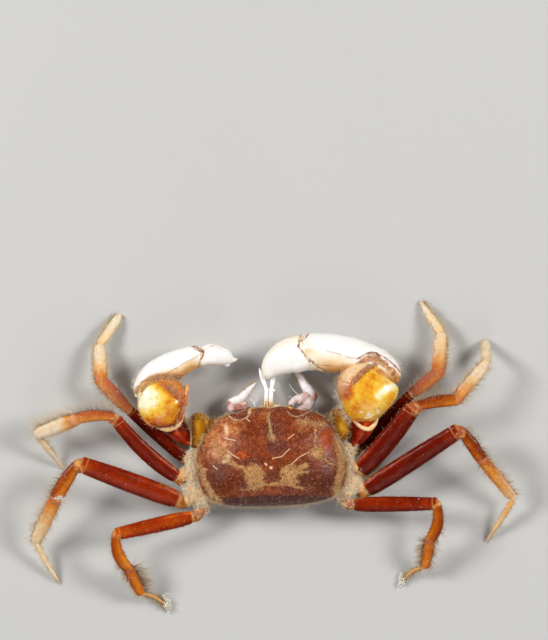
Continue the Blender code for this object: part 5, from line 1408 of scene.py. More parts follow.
def arm_marks(side):
    sign = 1 if side == "right" else -1

    def merus(u, v, p):
        x, y, z = p[..., 0], p[..., 1], p[..., 2]
        tone = 0.26 + 0.36 * v + 0.42 * noise(p, 0.45, 3, 3) + 0.25 * fade(z, 2.6, 2.0)
        tone = tone - 0.34 * bump_at(u, 0.25 + 0.14 * sign, 0.05) + 0.3 * bump_at(u, 0.25 - 0.02 * sign, 0.035)
        rim = 0.9 * fade(v, 0.8, 0.86) + 0.5 * np.exp(-((v - 0.72) / 0.012) ** 2)
        felt = 0.75 * fade(noise(p, 0.8, 4, 2), 0.05, 0.5) * fade(v, 0.35, 0.05)
        return {"tone": tone, "rim": np.clip(rim, 0, 1), "felt": felt}

    def ischium(u, v, p):
        tone = 0.5 + 0.25 * noise(p, 0.9, 6, 2)
        felt = 0.8 * fade(v, 0.35, 0.05) + 0.5 * fade(v, 0.85, 1.0)
        return {"tone": tone, "rim": 0.6 * np.exp(-((v - 0.86) / 0.015) ** 2), "felt": np.clip(felt, 0, 1)}

    def carpus(u, v, p):
        x, y, z = p[..., 0], p[..., 1], p[..., 2]
        inner = bump_at(u, 0.5 if side == "right" else 0.0, 0.12)
        tone = 0.58 - 0.2 * fade(v, 0.12, 0.02) + 0.1 * noise(p, 0.8, 91, 3)
        if side == "right":
            left_of = np.interp(-y, [-9.3, -8.5, -7.6, -6.9, -6.2, -5.6], [9.8, 8.65, 7.83, 7.6, 7.83, 7.4]) - x
            tone = tone - (0.34 - 0.2 * fade(y, 6.4, 5.2)) * fade(left_of, -0.12, 0.3)
            tone = tone + 0.2 * spot(x, y, 350, 407, 9, 8, 0, 0.8) * (left_of > 0) - 0.12 * spot(x, y, 352, 409, 12, 8, 0, 0.8)
            tone = tone - 0.25 * spot(x, y, 371, 372, 12, 8, 30, 0.8) * fade(noise(p, 0.5, 93, 3), -0.3, 0.3) - 0.12 * spot(x, y, 366, 395, 8, 10, 0, 0.8)
            # painted highlight: a pale streak across the amber face
            tone = tone + 0.5 * stroke(x, y, [(378, 395), (386, 388), (393, 386)], 7, 0.8)
            felt = 0.75 * stroke(x, y, [(353, 381), (360, 373), (368, 367), (376, 362)], 5, 0.8)
            felt = np.maximum(felt, 0.42 * stroke(x, y, [(339, 377), (346, 383), (352, 384)], 10, 0.9))
            upper = fade(left_of, 0.35, 0.75) * fade(y + 0.5 * noise(p, 0.5, 96, 2), 6.2, 8.3)
            felt = np.maximum(felt, 0.35 * stroke(x, y, [(340, 384), (344, 396), (348, 404)], 3, 0.9))
            edge = np.maximum(0.9 * stroke(x, y, [(353.5, 383.5), (364, 373), (376.5, 363.8)], 1.8),
                              stroke(x, y, [(376.5, 363.3), (388, 374), (398.5, 386.5)], 1.7))
            flakes = fade(noise(p, 0.32, 95, 3), -0.05, 0.12)
            rim = 0.95 * stroke(x, y, [(362, 412), (368, 414.5), (374, 412.5), (379, 410)], 5.5, 0.5) * flakes
            rim = np.maximum(rim, 0.5 * spot(x, y, 388, 384, 7, 3, -45, 0.9) * flakes)
            rim = np.maximum(rim, 0.6 * upper)
            tone = tone + 0.25 * upper
            felt = np.maximum(felt, 0.4 * fade(left_of, 0.1, 0.6) * spot(x, y, 345, 391, 7, 8, 0, 0.9))
        else:
            # painted highlight: the pale patch on the left of the amber face
            tone = tone - 0.1 + 0.6 * spot(x, y, 149, 400, 13, 14, -20, 0.9) - 0.16 * stroke(x, y, [(140, 414), (156, 423), (174, 424), (181, 414)], 5, 0.9)
            tone = tone - 0.16 * fade(noise(p, 0.3, 97, 3), 0.1, 0.5) * spot(x, y, 166, 404, 16, 16, 0, 0.6)
            tone = tone - 0.1 * spot(x, y, 164, 411, 17, 10, 0, 0.9)
            felt = 0.5 * stroke(x, y, [(161, 385), (171, 388), (179, 395), (182, 404)], 5, 0.9)
            felt = np.maximum(felt, 0.7 * stroke(x, y, [(142, 390), (150, 381), (164, 378), (178, 379), (186, 387)], 5, 0.8))
            tone = tone - 0.28 * stroke(x, y, [(160, 385), (170, 389), (178, 396), (181, 404)], 8, 0.9)
            tone = tone + 0.16 * stroke(x, y, [(164, 412), (172, 408), (178, 400)], 7, 0.9) + 0.12 * spot(x, y, 143, 396, 7, 10, 20, 0.9)
            outside = 1 - spot(x, y, 159.5, 405.5, 24.5, 23, -20, 0.12)
            tone = tone - 0.16 * outside
            felt = np.maximum(felt, 0.3 * outside)
            felt = np.maximum(felt, 0.62 * spot(x, y, 172.5, 389, 9.5, 5, -42, 0.9))
            tone = tone - 0.12 * stroke(x, y, [(148, 424), (160, 427), (173, 425), (181, 414)], 4, 0.9)
            edge = 0.5 * stroke(x, y, [(138, 403), (141, 395), (147, 386), (156, 382.5)], 1.3)
            edge = np.maximum(edge, 0.5 * stroke(x, y, [(168, 387), (175, 393), (178, 399)], 3, 0.8))
            edge = np.maximum(edge, 0.8 * stroke(x, y, [(152, 423), (162, 427), (174, 425), (181, 417)], 1.8))
            rim = 0.0 * x
        return {"tone": np.clip(tone, 0, 1), "rim": rim, "felt": np.clip(felt, 0, 1), "edge": edge}
    return merus, ischium, carpus


for side in ("right", "left"):
    merus_paint, ischium_paint, carpus_paint = arm_marks(side)
    right = side == "right"
    name = f"cheliped_{side}"
    claw_tubes[side] = {
        "ischium": Tube(ISCHIUM_ROWS[side]), "merus": Tube(MERUS_ROWS[side]),
        "carpus": Tube(CARPUS_ROWS[side], square=2.5,
                       relief=lambda u, v: 0.05 * noise(np.stack([u * 4, v * 4, 0 * u], axis=-1), 0.7, 33, 2)),
        "palm": Tube(RIGHT_PALM if right else LEFT_PALM, square=2.25,
                     headings=(98, 112, 132, 148, 163, 174, 181, 190, 199, 199, 205, 215, 232, 250, 262) if right
                     else (80, 65, 48, 38, 30, 25, 15, 4, 0, -3, -15, -45, -65), relief=claw_relief(0.25, 0.72, 0.93, 0.1, 9)),
        "dactylus": Tube(RIGHT_FINGER if right else LEFT_FINGER, square=2.15,
                         headings=(199, 199, 203, 210, 222, 238, 255, 268) if right else (-8, -8, -5, -6, -14, -22, -24, -10, 5, 8),
                         relief=claw_relief(0.75, 0.25, 0.9, 0.1, 10)),
    }
    tubes = claw_tubes[side]
    skin_piece(f"{name}_ischium_shell", tubes["ischium"], M["olive"], f"{name}_ischium", 56, 70, marks=ischium_paint)
    skin_piece(f"{name}_merus_shell", tubes["merus"], M["arm"], f"{name}_merus", 72, 100, marks=merus_paint)
    skin_piece(f"{name}_carpus_shell", tubes["carpus"], M["amber"], f"{name}_carpus", 110, 120, marks=carpus_paint)
    skin_piece(f"{name}_palm_shell", tubes["palm"], M["claw"], f"{name}_palm", 200 if right else 160, 220 if right else 190,
               marks=claw_marks_right if right else claw_marks_left)
    skin_piece(f"{name}_finger_shell", tubes["dactylus"], M["claw"], f"{name}_dactylus", 130, 130, marks=finger_marks(side))


# ---------------------------------------------------------------- eyes, feelers and mouthparts


def feeler_material():
    m = Paint("feeler")
    fine = m.noise(0.2, 4, rough=0.65)
    tone = m.math("ADD", m.attr("tone"), m.math("MULTIPLY", m.math("SUBTRACT", fine, 0.5), 0.35))
    colour = m.ramp(tone, [(0.0, rgb(150, 96, 30)), (0.25, rgb(206, 160, 76)), (0.5, rgb(232, 220, 196)), (1.0, rgb(255, 255, 255))])
    normal = m.bump(fine, 0.03)
    return m.finish(colour, 0.25, normal, coat=0.3, glow=0.15, glow_radius=(1.0, 0.8, 0.6), glow_scale=0.2)


def mouth_material():
    m = Paint("mouthpart")
    cloud, fine = m.noise(0.7, 4), m.noise(0.18, 4, rough=0.7)
    tone = m.math("ADD", m.attr("tone"), m.math("MULTIPLY", m.math("SUBTRACT", cloud, 0.5), 0.5))
    tone = m.math("ADD", tone, m.math("MULTIPLY", m.math("SUBTRACT", fine, 0.5), 0.4))
    colour = m.ramp(tone, [(0.0, rgb(96, 34, 20)), (0.25, rgb(150, 74, 56)), (0.45, rgb(206, 150, 136)), (0.7, rgb(234, 210, 206)),
                           (1.0, rgb(252, 246, 250))])
    colour = m.mix(m.attr("rim"), colour, rgb(186, 98, 30))
    normal = m.bump(m.math("ADD", fine, m.math("MULTIPLY", cloud, 0.5)), 0.05)
    return m.finish(colour, 0.32, normal, coat=0.3, coat_rough=0.2, glow=0.3, glow_radius=(1.0, 0.7, 0.6), glow_scale=0.3)


def eye_material():
    m = Paint("eye_glass")
    along = m.attr("along")
    fine = m.noise(0.09, 3)
    colour = m.ramp(m.math("ADD", along, m.math("MULTIPLY", m.math("SUBTRACT", fine, 0.5), 0.2)),
                    [(0.3, rgb(196, 120, 40)), (0.62, rgb(176, 92, 24)), (0.76, rgb(206, 150, 84)), (0.9, rgb(92, 58, 34))])
    normal = m.bump(m.cells(0.06), 0.008)
    return m.finish(colour, m.span(along, 0.6, 0.8, 0.4, 0.12), normal, coat=0.6, coat_rough=0.05, glow=0.3, glow_radius=(1.0, 0.6, 0.3), glow_scale=0.2)


M["feeler"], M["mouth"], M["eye"] = feeler_material(), mouth_material(), eye_material()

MOUTH_ROWS = {
    "right": ((2.3, 3.0, .8, .4, .25), (2.4, 3.6, .9, .6, .32), (2.7, 4.6, 1.2, .6, .36), (3.2, 5.3, 1.5, .5, .4), (3.75, 5.85, 1.65, .42, .4),
              (4.02, 6.2, 1.72, .3, .34), (3.82, 6.42, 1.74, .42, .4), (3.42, 6.74, 1.7, .52, .42), (3.06, 7.2, 1.64, .42, .36), (2.85, 7.6, 1.58, .36, .3),
              (2.55, 8.1, 1.5, .31, .25), (2.25, 8.5, 1.42, .24, .2), (2.02, 8.74, 1.36, .06, .06)),
    "left": ((-2.2, 3.0, .8, .4, .25), (-2.3, 3.6, .9, .55, .32), (-2.6, 4.4, 1.2, .42, .34), (-3.2, 4.95, 1.5, .42, .35), (-3.78, 5.34, 1.65, .34, .34),
             (-4.02, 5.56, 1.74, .26, .3), (-3.8, 5.68, 1.8, .34, .34), (-3.38, 5.78, 1.85, .42, .38), (-2.94, 6.0, 1.88, .42, .38), (-2.57, 6.38, 1.92, .37, .34),
             (-2.23, 6.78, 1.95, .29, .28), (-1.88, 7.13, 1.97, .2, .2), (-1.54, 7.48, 2.0, .05, .05)),
}
mouth_tubes, feeler_tubes = {}, {}


def rough_lump(amount, seed):
    def relief(u, v):
        a = 2 * np.pi * u
        b = np.pi * v
        q = np.stack([np.sin(b) * np.cos(a), np.sin(b) * np.sin(a), np.cos(b)], axis=-1)
        return amount * (noise(q, 0.7, seed, 3) + 0.5 * noise(q, 0.25, seed + 3, 3))
    return relief


def mouth_marks(u, v, p):
    z = p[..., 2]
    tone = 0.74 + 0.3 * bump_at(u, 0.25, 0.2) - 0.6 * bump_at(u, 0.75, 0.16) - 0.3 * fade(v, 0.45, 0.3)
    knob = np.maximum(spot(p[..., 0], p[..., 1], 228.4, 402.8, 2.2, 2.4, 0, 0.8), spot(p[..., 0], p[..., 1], 315.6, 395.8, 2.0, 3.0, 0, 0.8))
    seams = 0.14 * (np.exp(-((v - 0.80) / 0.008) ** 2) + np.exp(-((v - 0.68) / 0.008) ** 2))
    return {"tone": np.clip(tone, 0, 1), "rim": np.clip(knob + seams, 0, 1)}


for side in ("right", "left"):
    mouth_tubes[side] = Tube(MOUTH_ROWS[side], roll=-14 if side == "right" else 14,
                             relief=lambda u, v: 0.12 * noise(np.stack([u * 3, v * 8, 0 * u], axis=-1), 0.6, 51, 2))
    skin_piece(f"maxilliped_{side}_shell", mouth_tubes[side], M["mouth"], f"maxilliped_{side}", 40, 110, marks=mouth_marks)

FEELER_ROWS = {
    "right": ((-.12, 4.6, 2.4, .12, .12), (-.12, 4.95, 2.4, .22, .2), (-.1, 5.35, 2.36, .19, .18), (-.09, 6.1, 2.26, .16, .15), (-.07, 6.6, 2.2, .15, .14),
              (-.05, 6.78, 2.18, .19, .17), (-.02, 6.95, 2.16, .13, .12), (.05, 7.45, 2.08, .165, .14), (.1, 7.9, 2.0, .155, .13), (.15, 8.35, 1.92, .09, .08),
              (.18, 8.65, 1.86, .025, .025)),
    "left": ((-.6, 4.6, 2.4, .12, .12), (-.6, 4.95, 2.4, .22, .2), (-.58, 5.35, 2.36, .19, .18), (-.55, 6.1, 2.26, .16, .15), (-.53, 6.6, 2.2, .15, .14),
             (-.53, 6.78, 2.18, .19, .17), (-.58, 6.95, 2.16, .13, .12), (-.78, 7.5, 2.08, .17, .14), (-.98, 8.1, 2.0, .165, .13), (-1.12, 8.55, 1.92, .1, .09),
             (-1.2, 8.85, 1.86, .025, .025)),
}
for side in ("right", "left"):
    feeler_tubes[side] = Tube([(x, y, z, a * 1.22, b * 1.15) for x, y, z, a, b in FEELER_ROWS[side]])
    skin_piece(f"antennule_{side}_shell", feeler_tubes[side], M["feeler"], f"antennule_{side}", 28, 100,
               marks=lambda u, v, p: {"tone": 0.08 + 1.0 * fade(v, 0.1, 0.5)})
skin_piece("antennule_knob", Lump((0.14, 6.72, 2.32), (0.17, 0.17, 0.15), 0, rough_lump(0.06, 3)), M["feeler"], None, 28, 20, marks=lambda u, v, p: {"tone": 0.9 + 0 * u})
# the short second feelers, as fine as hairs
WHISKERS = {
    "right_long": ((3.0, 5.95, 1.9, .035, .035), (2.6, 6.2, 2.0, .03, .03), (2.13, 6.61, 2.1, .026, .026), (1.8, 7.05, 2.15, .02, .02), (1.6, 7.4, 2.15, .01, .01)),
    "right_short": ((2.0, 5.3, 2.5, .03, .03), (1.95, 5.8, 2.5, .026, .026), (1.8, 6.1, 2.5, .02, .02), (1.5, 6.1, 2.45, .01, .01)),
    "left_long": ((-1.6, 5.2, 2.5, .04, .04), (-1.75, 5.6, 2.5, .035, .035), (-1.95, 5.9, 2.5, .025, .025), (-2.15, 6.1, 2.5, .012, .012)),
    "left_short": ((-1.75, 5.45, 2.5, .03, .03), (-1.5, 5.75, 2.5, .026, .026), (-1.3, 5.95, 2.5, .012, .012)),
}
for name, rows in WHISKERS.items():
    skin_piece(f"antenna_{name}", Tube(rows), M["feeler"], None, 10, 40, marks=lambda u, v, p: {"tone": 0.95 + 0 * u})
for side, sign in (("right", 1), ("left", -1)):
    rows = []
    for x, y, z, a, b in ((1.4, 4.3, 2.7, .2, .18), (1.6, 4.6, 2.86, .25, .22), (1.84, 4.88, 2.98, .24, .22), (1.94, 5.0, 3.0, .28, .25),
                          (2.04, 5.13, 3.0, .25, .23), (2.1, 5.23, 3.0, .13, .12), (2.11, 5.26, 3.0, .04, .04)):
        q = spin_z(np.array([sign * x, y, z]), BODY_YAW)
        rows.append((*q, a, b))
    skin_piece(f"eye_{side}_ball", Tube(rows), M["eye"], f"eye_{side}", 36, 50)


def face_material():
    m = Paint("face")
    fine, cloud = m.noise(0.2, 4, rough=0.65), m.noise(0.8, 3)
    colour = m.ramp(m.math("ADD", m.math("MULTIPLY", fine, 0.5), m.math("MULTIPLY", cloud, 0.5)),
                    [(0.3, rgb(186, 146, 92)), (0.48, rgb(226, 206, 158)), (0.7, rgb(240, 232, 210))])
    colour = m.mix(m.attr("rim"), colour, rgb(150, 112, 64))
    return m.finish(colour, 0.3, m.bump(fine, 0.04), coat=0.3, glow=0.3, glow_radius=(1.0, 0.7, 0.4), glow_scale=0.4)


M["face"] = face_material()


def face_marks(u, v, p):
    x, y, z = p[..., 0], p[..., 1], p[..., 2]
    lines = np.exp(-((x + 0.0) / 0.05) ** 2) * (z < 2.2) + np.exp(-((np.abs(x) - 0.75 - 0.2 * (y - 4)) / 0.045) ** 2) * (z < 2.3)
    return {"rim": np.clip(lines * 0.7, 0, 1)}


skin_piece("face_shell", Lump((-0.15, 4.2, 2.0), (1.95, 1.25, 0.82), BODY_YAW,
                              relief=lambda u, v: 0.04 * noise(np.stack([u * 6, v * 4, 0 * u], axis=-1), 0.8, 5, 2)),
           M["face"], None, 90, 60, marks=face_marks)


def lump_marks(tone, felt=0.0, rim=0.0, pink=0.0):
    def marks(u, v, p):
        n = noise(p, 0.6, 41, 3)
        return {"tone": np.clip(tone + 0.35 * n, 0, 1), "felt": np.clip(felt + 0.5 * n * (felt > 0), 0, 1), "rim": rim + 0 * u,
                "pink": np.clip(pink - 0.9 * n * (pink > 0), 0, 1)}
    return marks


def plate_marks(tone, side):
    def marks(u, v, p):
        away = (p[..., 0] * side - 6.6) / 0.9
        cloud = noise(p, 0.55, 83, 3)
        return {"tone": np.clip(tone + 0.25 * np.exp(-((away - 0.1) / 0.55) ** 2) + 0.55 * cloud - 0.3 * fade(np.abs(away), 0.6, 1.1), 0, 1),
                "felt": 0.55 * fade(np.abs(away), 0.75, 1.15), "rim": 0 * u}
    return marks


lumps = {}
# the clear olive plates at the root of each claw-bearing limb, seen just outside the carapace
for name, centre, half, turn, paint, slot, marks in (
        ("arm_plate_right", (6.45, 3.55, 2.55), (1.06, 1.6, 0.62), 12, "olive", "cheliped_merus", plate_marks(0.55, 1)),
        ("arm_plate_left", (-6.95, 2.95, 2.5), (1.12, 1.7, 0.6), -6, "olive", "cheliped_merus", plate_marks(0.5, -1)),
        # soft lobes of the mouthparts
        ("mouth_lobe_right_inner", (2.08, 5.78, 2.0), (0.66, 0.3, 0.32), 43, "mouth", "mouthpart", lump_marks(0.78)),
        ("mouth_lobe_right_middle", (2.95, 6.0, 1.95), (0.78, 0.46, 0.34), 35, "mouth", "mouthpart", lump_marks(0.72)),
        ("mouth_lobe_right_outer", (3.5, 5.55, 2.0), (0.56, 0.66, 0.36), -15, "mouth", "mouthpart", lump_marks(0.7)),
        ("mouth_lobe_left", (-3.1, 5.36, 1.9), (0.86, 0.3, 0.3), 14, "mouth", "mouthpart", lump_marks(0.5)),
        ("mouth_lobe_left_middle", (-3.2, 5.0, 1.95), (0.9, 0.24, 0.26), 6, "mouth", "mouthpart", lump_marks(0.36)),
        ("mouth_lobe_left_outer", (-3.9, 5.0, 2.0), (0.3, 0.32, 0.26), 0, "mouth", "mouthpart", lump_marks(0.5))):
    lumps[name] = Lump(centre, half, turn, rough_lump(0.1, len(name)))
    skin_piece(name, lumps[name], M[paint], None, 60, 44, marks=marks)

# knuckles where the walking legs join the body, wrapped in pale wool
for leg, row in LEGS.items():
    side = 1 if "right" in leg else -1
    way = heading_vector(row[1][1], row[1][2])
    for k, (t, size, drop) in enumerate(((0.3, 0.76, 0.1), (0.62, 0.6, 0.05), (0.86, 0.42, 0.0))):
        hind = leg.endswith(("3", "4"))
        if leg.endswith("1") and k > 0 or leg.endswith("2") and k > 1:
            continue
        centre = np.array(row[0]) + way * row[1][0] * t - np.array([0, 0, drop])
        if k == 1:
            centre = centre + np.array([0, 0.16 if hind else -0.1, -0.12])
        half = np.array([size * 1.2, size * (0.62 if leg.endswith("4") else 0.74 if hind else 0.56), size * 0.5])
        name = f"{leg}_knuckle_{k}"
        lumps[name] = Lump(centre, half, row[1][1], rough_lump(0.42, 7 * k + len(leg) + int(leg[-1])))
        last = leg.endswith("4")
        skin_piece(name, lumps[name], M["base"], None, 60, 44,
                   marks=lump_marks((0.62, 0.42, 0.12)[k], 0.12 if last else (0.4, 0.3, 0.0)[k], 0.0, (1.3, 1.5, 1.4)[k] if last else (0.3, 0.25, 0.0)[k]))

# the flanks between the carapace edge and the leg bases
for name, centre, half, turn in (("flank_left", (-7.2, -0.7, 2.62), (0.72, 2.0, 0.66), 4), ("flank_left_hind", (-6.85, -2.85, 2.7), (1.5, 1.05, 0.72), -40),
                                 ("flank_right", (6.9, -0.1, 2.5), (0.66, 1.8, 0.62), -4), ("flank_right_hind", (6.85, -2.2, 2.7), (1.5, 1.1, 0.72), 36)):
    lumps[name] = Lump(centre, half, turn, rough_lump(0.3, len(name)))
    skin_piece(name, lumps[name], M["base"], None, 90, 60, marks=lump_marks(0.7, 0.6, 0.0, 0.12))

for name, centre, half, turn in (("tissue_left", (-6.35, -3.6, 3.0), (0.42, 0.26, 0.26), 60), ("tissue_left_fore", (-7.35, -2.75, 2.95), (0.34, 0.42, 0.22), 20),
                                 ("tissue_right", (7.25, -1.25, 2.95), (0.24, 0.36, 0.22), 10), ("tissue_right_hind", (7.05, -2.35, 2.95), (0.42, 0.3, 0.22), 0)):
    lumps[name] = Lump(centre, half, turn, rough_lump(0.14, len(name)))
    skin_piece(name, lumps[name], M["base"], None, 50, 36, marks=lump_marks(0.85, 0.0))

# folds of pale skin below the amber wrists
FOLDS = {
    "right": (((7.45, 4.35, 3.6, .1, .16), (7.85, 3.8, 3.75, .17, .3), (8.45, 3.28, 3.85, .2, .36), (9.1, 3.12, 3.85, .24, .36), (9.65, 3.6, 3.8, .2, .3),
               (9.92, 4.3, 3.7, .1, .16)),
              ((8.45, 4.45, 5.0, .08, .06), (8.75, 4.3, 5.1, .22, .1), (9.3, 4.55, 5.25, .34, .12), (9.65, 4.85, 5.3, .2, .1), (9.85, 5.0, 5.3, .05, .04))),
    "left": (((-11.0, 4.0, 3.7, .08, .14), (-10.7, 3.55, 3.75, .24, .3), (-10.15, 3.2, 3.8, .32, .36), (-9.5, 3.15, 3.8, .26, .32), (-9.15, 3.3, 3.75, .1, .14)),
             ((-9.3, 3.05, 3.7, .06, .1), (-9.0, 3.3, 3.8, .2, .26), (-8.65, 3.75, 3.9, .22, .3), (-8.4, 4.25, 3.9, .14, .2), (-8.3, 4.5, 3.9, .05, .08))),
}
for side, paths in FOLDS.items():
    for k, rows in enumerate(paths):
        skin_piece(f"wrist_fold_{side}_{k}", Tube(rows, relief=lambda u, v: 0.12 * noise(np.stack([u * 4, v * 9, 0 * u], axis=-1), 0.8, 60, 2)),
                   M["base"], None, 30, 70,
                   marks=lambda u, v, p: {"tone": 0.6 + 0.3 * noise(p, 0.35, 5, 2), "rim": 0 * u, "felt": 0 * u})

# pinkish ridge along the inner side of the left wrist, ending in a blunt tooth
ridge = Tube(((-8.86, 3.3, 3.75, .06, .1), (-8.7, 3.92, 3.95, .22, .35), (-8.46, 4.85, 4.1, .3, .5), (-8.28, 5.78, 4.2, .32, .52),
              (-8.12, 6.5, 4.1, .32, .45), (-7.98, 7.0, 3.95, .26, .32), (-7.88, 7.34, 3.85, .07, .12)),
             relief=lambda u, v: 0.05 * noise(np.stack([u * 4, v * 9, 0 * u], axis=-1), 0.6, 61, 2))
skin_piece("wrist_ridge_left", ridge, M["amber"], None, 40, 60,
           marks=lambda u, v, p: {"tone": 0.26 + 0.3 * noise(p, 0.4, 3, 2), "rim": 0.5 * fade(v, 0.6, 1.0) * fade(noise(p, 0.3, 6, 2), -0.3, 0.3), "felt": 0.3 + 0 * u, "edge": 0 * u})


skin_piece("wrist_web_left", Lump((-8.8, 4.85, 3.88), (0.4, 1.3, 0.5), -9, rough_lump(0.08, 5)), M["amber"], None, 44, 36,
           marks=lambda u, v, p: {"tone": 0.4 + 0.3 * noise(p, 0.4, 67, 2), "rim": 0 * u, "felt": 0.2 + 0.2 * noise(p, 0.5, 68, 2), "edge": 0 * u})


# ---------------------------------------------------------------- coats of hair


def hairs(coat, surface, u, v, length, radius, lift=1.0, sweep=0.5, swirl=0.0, tone=0.5, bend=0.3, jitter=0.3,
          droop=0.15, spread_length=0.3):
    p, n, du, dv, way = comb(surface, u, v, lift, sweep, swirl, jitter)
    count = len(u)
    size = length * rng.uniform(1 - spread_length, 1 + spread_length, count)
    lean = dv * bend + rng.normal(size=(count, 3)) * 0.16
    lean[:, 2] -= droop
    tones = np.clip(tone + rng.normal(size=count) * 0.2, 0, 1)
    coat.add(p - n * 0.03, way, lean, size, radius * rng.uniform(0.75, 1.25, count), tones, u, v)


def along_edge(count, centre, width, low, high, power=1.0):
    v = low + (high - low) * rng.uniform(0, 1, count) ** power
    return np.mod(centre + rng.normal(size=count) * width, 1.0), v


# velvet and stray hairs of the carapace
felt_coat = Coat("carapace_felt", M["felt"], "carapace", 4)
u, v = scatter(carapace, 6500, lambda u, v, p: felt_bands(p[:, 0], p[:, 1]) * (v > 0.12), v_range=(0.115, 0.995))
p = carapace.place(u, v)
hairs(felt_coat, carapace, u, v, 0.2, 0.018, lift=0.5, sweep=-0.35, tone=0.5 + 1.1 * noise(p, 0.3, 2, 2), bend=-0.3, jitter=0.8, droop=0.25)
u, v = scatter(carapace, 1500, lambda u, v, p: 0.3 + 0.7 * (noise(p, 0.9, 61, 2) > 0.1), v_range=(0.13, 0.99))
hairs(felt_coat, carapace, u, v, 0.14, 0.014, lift=0.6, sweep=-0.6, tone=0.6, bend=-0.2, jitter=0.5)
u, v = scatter(carapace, 1900, lambda u, v, p: (fade(np.abs(p[:, 0]), 3.0, 5.0) * (p[:, 1] > -1.5) * 0.8 + 0.25 * (p[:, 1] > 0)) * (0.25 + fade(noise(p, 0.7, 71, 2), -0.2, 0.5)),
               v_range=(0.07, 0.135))
hairs(felt_coat, carapace, u, v, 0.46, 0.017, lift=1.0, sweep=-0.3, tone=0.35, bend=-0.2, jitter=0.6, droop=0.05)
u, v = scatter(carapace, 900, lambda u, v, p: 1.0 * (p[:, 1] < -2), v_range=(0.06, 0.11))
hairs(felt_coat, carapace, u, v, 0.42, 0.015, lift=1.0, sweep=-0.2, tone=0.8, bend=-0.1, jitter=0.4, droop=0.0)
felt_coat.build(rings=2)

# wool on the sides of the body and over the leg bases
wool = Coat("body_wool", M["hair_wool"], "sternum", 40)
u, v = scatter(thorax, 3600, lambda u, v, p: fade(p[:, 2], 0.5, 1.3) * (0.4 + 0.6 * fade(np.abs(p[:, 0]), 2.5, 4.0)), v_range=(0.12, 0.5))
hairs(wool, thorax, u, v, 0.62, 0.022, lift=1.0, sweep=-0.2, tone=0.5, bend=0.1, jitter=0.6, droop=0.1)
for leg, tubes in leg_tubes.items():
    hind = leg.endswith(("3", "4"))
    u, v = scatter(tubes["base"], 500 if hind else 420, lambda u, v, p: 1.0 + 0 * u, v_range=(0.05, 0.97))
    hairs(wool, tubes["base"], u, v, 0.4, 0.022, lift=0.6, sweep=0.5, tone=0.6 + 1.0 * noise(tubes["base"].place(u, v), 0.35, 6, 2), bend=-0.2, jitter=1.0, droop=0.2)
for name, lump in lumps.items():
    if "knuckle" in name or "flank" in name:
        n = (110 if "_4_" in name else 260) if "knuckle" in name else 1500
        u, v = scatter(lump, n, lambda u, v, p: fade(p[:, 2], 1.4, 2.0) + 0.2, v_range=(0.03, 0.75))
        p = lump.place(u, v)
        hairs(wool, lump, u, v, 0.56, 0.03, lift=0.6, sweep=0.5, swirl=0.9 * noise(p, 0.5, 3), tone=0.6 + 1.4 * noise(p, 0.35, 5, 2), bend=-0.4, jitter=1.2, droop=0.2)
wool.build(rings=2)

